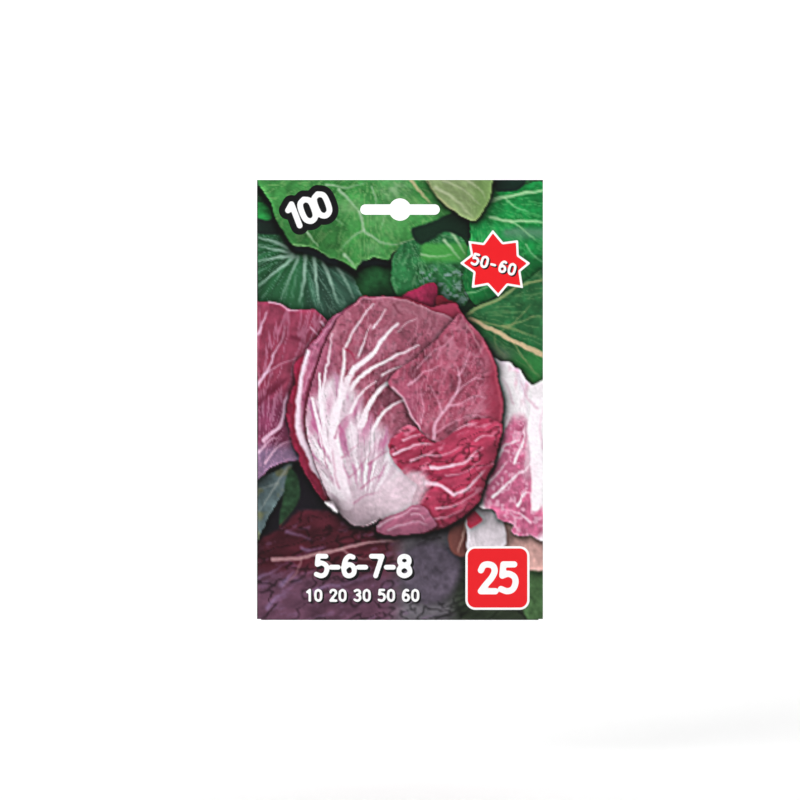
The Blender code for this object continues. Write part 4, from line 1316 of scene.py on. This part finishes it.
def floor_finish():
    """The plain pale table: a faint even mottle."""
    finish = Finish("pale_floor")
    cloud = finish.noise(60.0, 2.0, 0.5)
    color = finish.mix(cloud, (0.94, 0.94, 0.94), (0.97, 0.97, 0.97))
    return finish.set(Base_Color=color, Roughness=0.8, Emission_Color=(1.0, 1.0, 1.0),
                      Emission_Strength=0.16)


# ---------------------------------------------------------------- what a user may change

LENS, SENSOR = 100.0, 36.0
FRAME_SHARE = 0.55                   # share of the frame's height that the packet takes up
BACK_CELL = 1.0                      # spacing of the back panel's points
INK_BLEED = 3.0                      # how far the print is carried round a fold
BEHIND_ALL = 50.0                    # depth that keeps a mark off the flaps

class SeedPacketSizes(bpy.types.PropertyGroup):
    """Sizes of the packet's surfaces."""

    cell: bpy.props.FloatProperty(
        name="Print Cell", description="Spacing of the printed face's points",
        default=0.52 * MM, min=0.4 * MM, max=2.0 * MM, unit="LENGTH", precision=5)
    dent: bpy.props.FloatProperty(
        name="Dents", description="Depth of the hollows over the seeds and of the paper's waves",
        default=0.10 * MM, min=0.0, max=0.3 * MM, unit="LENGTH", precision=5)
    seed_count: bpy.props.IntProperty(
        name="Seeds", description="How many loose seeds lie in the sachet", default=420, min=20,
        max=900)
    seed_length: bpy.props.FloatProperty(
        name="Seed Length", description="Length of one seed", default=2.6 * MM, min=1.0 * MM,
        max=4.0 * MM, unit="LENGTH", precision=5)
    backdrop: bpy.props.FloatProperty(
        name="Backdrop Distance", description="From the packet back to the studio backdrop",
        default=0.60, min=0.2, max=3.0, unit="LENGTH")


class SeedPacketColors(bpy.types.PropertyGroup):
    """Colours of the solid inks over the picture."""

    badge: bpy.props.FloatVectorProperty(
        name="Corner Badge", description="Ink behind the corner badge's digits",
        default=(0.004, 0.004, 0.005), size=3, min=0.0, max=1.0, subtype="COLOR")
    star: bpy.props.FloatVectorProperty(
        name="Star", description="Ink of the eight-pointed star",
        default=ink((237, 28, 36)), size=3, min=0.0, max=1.0, subtype="COLOR")
    plaque: bpy.props.FloatVectorProperty(
        name="Plaque", description="Ink of the square plaque at the lower right",
        default=ink((232, 30, 38)), size=3, min=0.0, max=1.0, subtype="COLOR")
    lettering: bpy.props.FloatVectorProperty(
        name="Digits", description="Ink of the digits and the marks' outlines",
        default=(0.95, 0.95, 0.95), size=3, min=0.0, max=1.0, subtype="COLOR")


def add_values(obj, name, values):
    layer = obj.data.attributes.new(name, "FLOAT", "POINT")
    layer.data.foreach_set("value", np.asarray(values, np.float32).ravel())


def add_colors(obj, name, values):
    layer = obj.data.attributes.new(name, "FLOAT_COLOR", "POINT")
    full = np.ones((len(values), 4), np.float32)
    full[:, :3] = values
    layer.data.foreach_set("color", full.ravel())


def points_of(obj):
    """The mesh's points in millimetres."""
    flat = np.zeros(len(obj.data.vertices) * 3, np.float32)
    obj.data.vertices.foreach_get("co", flat)
    return flat.reshape(-1, 3).astype(float) / MM


def sheet_places(points):
    """Across and down the printed face for each point, and how far past a fold it lies behind."""
    x, y, z = points.T
    behind = y > HALF_PITCH + 0.2
    round_side = np.where(behind & (z > FOOT - 0.01), RIGHT - x, 0.0)
    round_foot = np.where(behind & (z < FOOT + BOTTOM_FLAP + 0.5) & (x < RIGHT - 0.02),
                          z - FOOT, 0.0)
    beyond = np.where(behind, np.minimum(np.maximum(round_side, 0.0),
                                         np.where(round_foot > 0, round_foot, 1e3)), 0.0)
    return x - ENVELOPE_LOW[0], TOP - z, beyond


def look_up(values, cell, across, down):
    """Read a painted sheet between its points."""
    rows, columns = values.shape[:2]
    x = np.clip(across / cell, 0, columns - 1.001)
    y = np.clip(down / cell, 0, rows - 1.001)
    i, j = x.astype(int), y.astype(int)
    fx, fy = x - i, y - j
    if values.ndim == 3:
        fx, fy = fx[:, None], fy[:, None]
    top = values[j, i] * (1 - fx) + values[j, i + 1] * fx
    low = values[j + 1, i] * (1 - fx) + values[j + 1, i + 1] * fx
    return top * (1 - fy) + low * fy


class SEEDPACKET_OT_stage(bpy.types.Operator):
    """Set the pale floor and backdrop, the soft lights and the camera straight in front"""
    bl_idname = "seed_packet.stage"
    bl_label = "Stage, Lights and Camera"

    def execute(self, context):
        scene = context.scene
        far = scene.seed_packet_sizes.backdrop
        centre = Vector((MIDDLE, 0.0, (TOP + BOTTOM) / 2)) * MM
        distance = HEIGHT * MM / FRAME_SHARE * LENS / SENSOR
        camera = bpy.data.cameras.new("camera")
        camera.lens, camera.sensor_width = LENS, SENSOR
        camera.clip_start, camera.clip_end = 0.01, 20.0
        viewer = bpy.data.objects.new("camera", camera)
        viewer.location = centre + Vector((0.0, -distance, 0.0))
        viewer.rotation_euler = (math.radians(90), 0.0, 0.0)
        scene.collection.objects.link(viewer)
        scene.camera = viewer

        make_backdrop(BOTTOM * MM - 0.06, far)
        add_light("key_light", (-1.5, -1.1, 1.0), centre, 1.2, 20.0)
        add_light("fill_light", (1.6, -1.1, 0.7), centre, 1.2, 14.0)
        add_light("back_light", (0.5, 1.7, 1.2), centre, 1.2, 5.0)
        world = bpy.data.worlds.new("studio")
        world.use_nodes = True
        background = world.node_tree.nodes["Background"]
        background.inputs["Color"].default_value = (1.0, 1.0, 1.0, 1.0)
        background.inputs["Strength"].default_value = 0.35
        scene.world = world
        scene.view_settings.view_transform = "Standard"
        return {"FINISHED"}


def add_light(name, place, target, size, power):
    lamp = bpy.data.lights.new(name, "AREA")
    lamp.shape, lamp.size, lamp.energy = "DISK", size, power
    obj = bpy.data.objects.new(name, lamp)
    obj.location = target + Vector(place)
    obj.rotation_euler = (target - obj.location).to_track_quat("-Z", "Y").to_euler()
    bpy.context.scene.collection.objects.link(obj)


def make_backdrop(floor, far):
    """One sheet: a floor in front that curves up into the backdrop behind."""
    radius, reach, rise = 0.35, 3.0, 3.0
    profile = [(-reach, floor), (far - radius, floor)]
    profile += [(far - radius + radius * math.sin(a), floor + radius * (1 - math.cos(a)))
                for a in np.radians(np.linspace(0, 90, 17)[1:])]
    profile.append((far, floor + rise))
    points = [(x, y, z) for x in (-3.0, 3.0) for y, z in profile]
    count = len(profile)
    faces = [(i, i + count, i + count + 1, i + 1) for i in range(count - 1)]
    mesh = bpy.data.meshes.new("backdrop")
    mesh.from_pydata(points, [], faces)
    mesh.materials.append(floor_finish())
    backdrop = link("backdrop", mesh)
    backdrop.data.shade_smooth()


class SEEDPACKET_OT_front(bpy.types.Operator):
    """Fold and print the front of the envelope, with its seam flap and bottom flap"""
    bl_idname = "seed_packet.front"
    bl_label = "Printed Front"

    def execute(self, context):
        sizes, colors = context.scene.seed_packet_sizes, context.scene.seed_packet_colors
        edge = cut_paper()
        marks = front_marks(colors)
        inks = [(name, paint) for name, _, paint in marks]
        finishes = [coated_print(inks), plain_paper(), edge]
        front = make_front_sheet("envelope_front", sizes.cell / MM, sizes.dent / MM, finishes)
        punch_slot(front, edge)
        shade(front)
        across, down, beyond = sheet_places(points_of(front))
        picture = paint_picture(sizes.cell / MM)
        shown = look_up(picture.ink, picture.cell, across, down)
        add_colors(front, "picture", linear(np.clip(shown, 0, 255)))
        for name, depth, _ in marks:
            add_values(front, name, depth(across, down) - BEHIND_ALL * (beyond > 0))
        add_values(front, "inked", INK_BLEED - beyond)
        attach(front, ROOT)
        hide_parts("paper_envelope")
        return {"FINISHED"}


class SEEDPACKET_OT_back(bpy.types.Operator):
    """Fold the envelope's plain back panel"""
    bl_idname = "seed_packet.back"
    bl_label = "Back Panel"

    def execute(self, context):
        sizes = context.scene.seed_packet_sizes
        edge = cut_paper()
        finishes = [plain_paper(), plain_paper(), edge]
        back = make_back_sheet("envelope_back", BACK_CELL, sizes.dent / MM, finishes)
        punch_slot(back, edge)
        shade(back)
        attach(back, ROOT)
        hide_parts("paper_envelope")
        return {"FINISHED"}


class SEEDPACKET_OT_glue(bpy.types.Operator):
    """Give the three strips of glue their dried finish"""
    bl_idname = "seed_packet.glue"
    bl_label = "Glue Strips"

    def execute(self, context):
        finish = dry_glue()
        for name in ("header_glue", "seam_flap_glue", "bottom_flap_glue"):
            dress(name, finish)
        return {"FINISHED"}


class SEEDPACKET_OT_sachet(bpy.types.Operator):
    """Give the two sachet films their foil finish"""
    bl_idname = "seed_packet.sachet"
    bl_label = "Foil Sachet"

    def execute(self, context):
        finish = foil_laminate()
        for name in ("sachet_front_film", "sachet_back_film"):
            dress(name, finish)
        return {"FINISHED"}


def dress(name, finish):
    """Put a finish on every slot of a fixed part."""
    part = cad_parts[name]
    if not part.material_slots:
        part.data.materials.append(finish)
    for place in part.material_slots:
        place.material = finish


def make_husk():
    """One seed: a short wedge with three ribs, blunt at one end."""
    bm = bmesh.new()
    rings = []
    for share, wide in ((0.0, 0.20), (0.14, 0.34), (0.45, 0.50), (0.78, 0.42), (1.0, 0.16)):
        ring = []
        for turn in range(6):
            angle = 2 * math.pi * turn / 6
            radius = wide * (0.5 if turn % 2 else 0.43)
            ring.append(bm.verts.new((share - 0.5, radius * math.cos(angle),
                                      0.8 * radius * math.sin(angle))))
        rings.append(ring)
    for low, high in zip(rings[:-1], rings[1:]):
        for turn in range(6):
            after = (turn + 1) % 6
            bm.faces.new((low[turn], low[after], high[after], high[turn]))
    bm.faces.new(rings[0][::-1])
    bm.faces.new(rings[-1])
    bmesh.ops.recalc_face_normals(bm, faces=bm.faces)
    mesh = bpy.data.meshes.new("husk")
    bm.to_mesh(mesh)
    bm.free()
    return link("husk", mesh)


def seed_tree(husk, finish):
    """Geometry Nodes that put one seed on each point, turned and sized by chance."""
    tree = bpy.data.node_groups.new("loose_seeds", "GeometryNodeTree")
    face = tree.interface
    face.new_socket("Places", in_out="INPUT", socket_type="NodeSocketGeometry")
    length = face.new_socket("Seed Length", in_out="INPUT", socket_type="NodeSocketFloat")
    chance = face.new_socket("Chance", in_out="INPUT", socket_type="NodeSocketInt")
    face.new_socket("Seeds", in_out="OUTPUT", socket_type="NodeSocketGeometry")

    def add(kind, settings=None, **sockets):
        node = tree.nodes.new(kind)
        for name, value in (settings or {}).items():
            setattr(node, name, value)
        for name, value in sockets.items():
            socket = node.inputs[name.replace("_", " ")]
            if isinstance(value, bpy.types.NodeSocket):
                tree.links.new(value, socket)
            else:
                socket.default_value = value
        return node

    entry, leave = tree.nodes.new("NodeGroupInput"), tree.nodes.new("NodeGroupOutput")
    source = add("GeometryNodeObjectInfo", Object=husk)
    turn = add("FunctionNodeRandomValue", {"data_type": "FLOAT_VECTOR"}, Seed=entry.outputs["Chance"])
    turn.inputs[0].default_value = (-0.22, -0.22, -math.pi)
    turn.inputs[1].default_value = (0.22, 0.22, math.pi)
    size = add("FunctionNodeRandomValue", {"data_type": "FLOAT"}, Seed=entry.outputs["Chance"])
    size.inputs[2].default_value, size.inputs[3].default_value = 0.85, 1.1
    sized = add("ShaderNodeMath", {"operation": "MULTIPLY"})
    tree.links.new(size.outputs[1], sized.inputs[0])
    tree.links.new(entry.outputs["Seed Length"], sized.inputs[1])
    tone = add("FunctionNodeRandomValue", {"data_type": "FLOAT"}, Seed=entry.outputs["Chance"])
    placed = add("GeometryNodeInstanceOnPoints", Points=entry.outputs["Places"],
                 Instance=source.outputs["Geometry"], Rotation=turn.outputs[0],
                 Scale=sized.outputs[0])
    toned = add("GeometryNodeStoreNamedAttribute", {"data_type": "FLOAT", "domain": "INSTANCE"},
                Geometry=placed.outputs[0], Name="seed_tone")
    tree.links.new(tone.outputs[1], toned.inputs["Value"])
    real = add("GeometryNodeRealizeInstances", Geometry=toned.outputs[0])
    coated = add("GeometryNodeSetMaterial", Geometry=real.outputs[0], Material=finish)
    tree.links.new(coated.outputs[0], leave.inputs[0])
    return tree, length.identifier, chance.identifier


def sachet_room(x, z):
    """Free half-depth inside the sachet, front and back, in millimetres."""
    half_width, top = SACHET_HIGH[0], SACHET_HIGH[2]
    inward = np.minimum(np.minimum(half_width - np.abs(x), top - z), z - SACHET_LOW[2])
    full = SACHET_FILL * swell(x, z) * smooth(SEAL, SEAL + 14.0, inward)
    return FRONT_SWELL * full + 0.02, BACK_SWELL * full + 0.02


def seed_places(count, length):
    """Flat-lying places for the seeds, settled in the lower half of the sachet, clear of its film."""
    draw = np.random.default_rng(12)
    low, high = part_box("seeds")
    half_thick = 0.17 * length
    chosen = []
    for _ in range(count * 60):
        x, z = draw.uniform(low[0], high[0]), draw.uniform(low[2], high[2])
        share = draw.uniform(0.0, 1.0)
        centre_z, half_z = (low[2] + high[2]) / 2, (high[2] - low[2]) / 2
        if (x / high[0]) ** 2 + ((z - centre_z) / half_z) ** 2 > 1.0:
            continue
        front, back = sachet_room(np.array(x), np.array(z))
        room_front, room_back = front - half_thick - 0.2, back - half_thick - 0.2
        if room_front + room_back < 0:
            continue
        y = -room_front + (room_front + room_back) * share
        spot = np.array([x, y, z])
        if all(abs(spot[1] - other[1]) > 1.5 * half_thick
               or math.hypot(spot[0] - other[0], spot[2] - other[2]) > 0.72 * length
               for other in chosen):
            chosen.append(spot)
        if len(chosen) == count:
            break
    return np.array(chosen)


class SEEDPACKET_OT_seeds(bpy.types.Operator):
    """Fill the sachet with loose seeds"""
    bl_idname = "seed_packet.seeds"
    bl_label = "Loose Seeds"

    def execute(self, context):
        sizes = context.scene.seed_packet_sizes
        husk = make_husk()
        tree, length, chance = seed_tree(husk, seed_husk())
        places = seed_places(sizes.seed_count, sizes.seed_length / MM)
        if len(places) < 20:
            raise RuntimeError("the sachet has no room for the seeds")
        mesh = bpy.data.meshes.new("seed_places")
        turned = np.stack([places[:, 0], places[:, 2], -places[:, 1]], -1)
        mesh.from_pydata(turned * MM, [], [])
        seeds = link("loose_seeds", mesh)
        growth = seeds.modifiers.new("Seeds", "NODES")
        growth.node_group = tree
        growth[length] = sizes.seed_length
        growth[chance] = 5
        settle(seeds)
        flat = points_of(seeds)
        upright = np.stack([flat[:, 0], -flat[:, 2], flat[:, 1]], -1) * MM
        seeds.data.vertices.foreach_set("co", upright.astype(np.float32).ravel())
        seeds.data.update()
        bpy.data.objects.remove(husk)
        shade(seeds, 50.0)
        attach(seeds, ROOT)
        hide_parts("seeds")
        return {"FINISHED"}


class SEEDPACKET_PT_panel(bpy.types.Panel):
    """The steps that make the packet"""
    bl_idname = "SEEDPACKET_PT_panel"
    bl_label = "Seed Packet"
    bl_space_type = "VIEW_3D"
    bl_region_type = "UI"
    bl_category = "Seed Packet"

    def draw(self, context):
        column = self.layout.column()
        for values in (context.scene.seed_packet_sizes, context.scene.seed_packet_colors):
            for name in values.bl_rna.properties.keys():
                if name not in ("rna_type", "name"):
                    column.prop(values, name)
        for step in STEPS:
            column.operator(step.bl_idname)


STEPS = (SEEDPACKET_OT_stage, SEEDPACKET_OT_front, SEEDPACKET_OT_back, SEEDPACKET_OT_glue,
         SEEDPACKET_OT_sachet, SEEDPACKET_OT_seeds)
CLASSES = (SeedPacketSizes, SeedPacketColors, *STEPS, SEEDPACKET_PT_panel)


def register():
    for kind in CLASSES:
        bpy.utils.register_class(kind)
    bpy.types.Scene.seed_packet_sizes = bpy.props.PointerProperty(type=SeedPacketSizes)
    bpy.types.Scene.seed_packet_colors = bpy.props.PointerProperty(type=SeedPacketColors)


def unregister():
    del bpy.types.Scene.seed_packet_colors
    del bpy.types.Scene.seed_packet_sizes
    for kind in reversed(CLASSES):
        bpy.utils.unregister_class(kind)


def main():
    register()
    bpy.ops.seed_packet.stage()
    bpy.ops.seed_packet.front()
    bpy.ops.seed_packet.back()
    bpy.ops.seed_packet.glue()
    bpy.ops.seed_packet.sachet()
    bpy.ops.seed_packet.seeds()


if __name__ == "__main__":
    main()
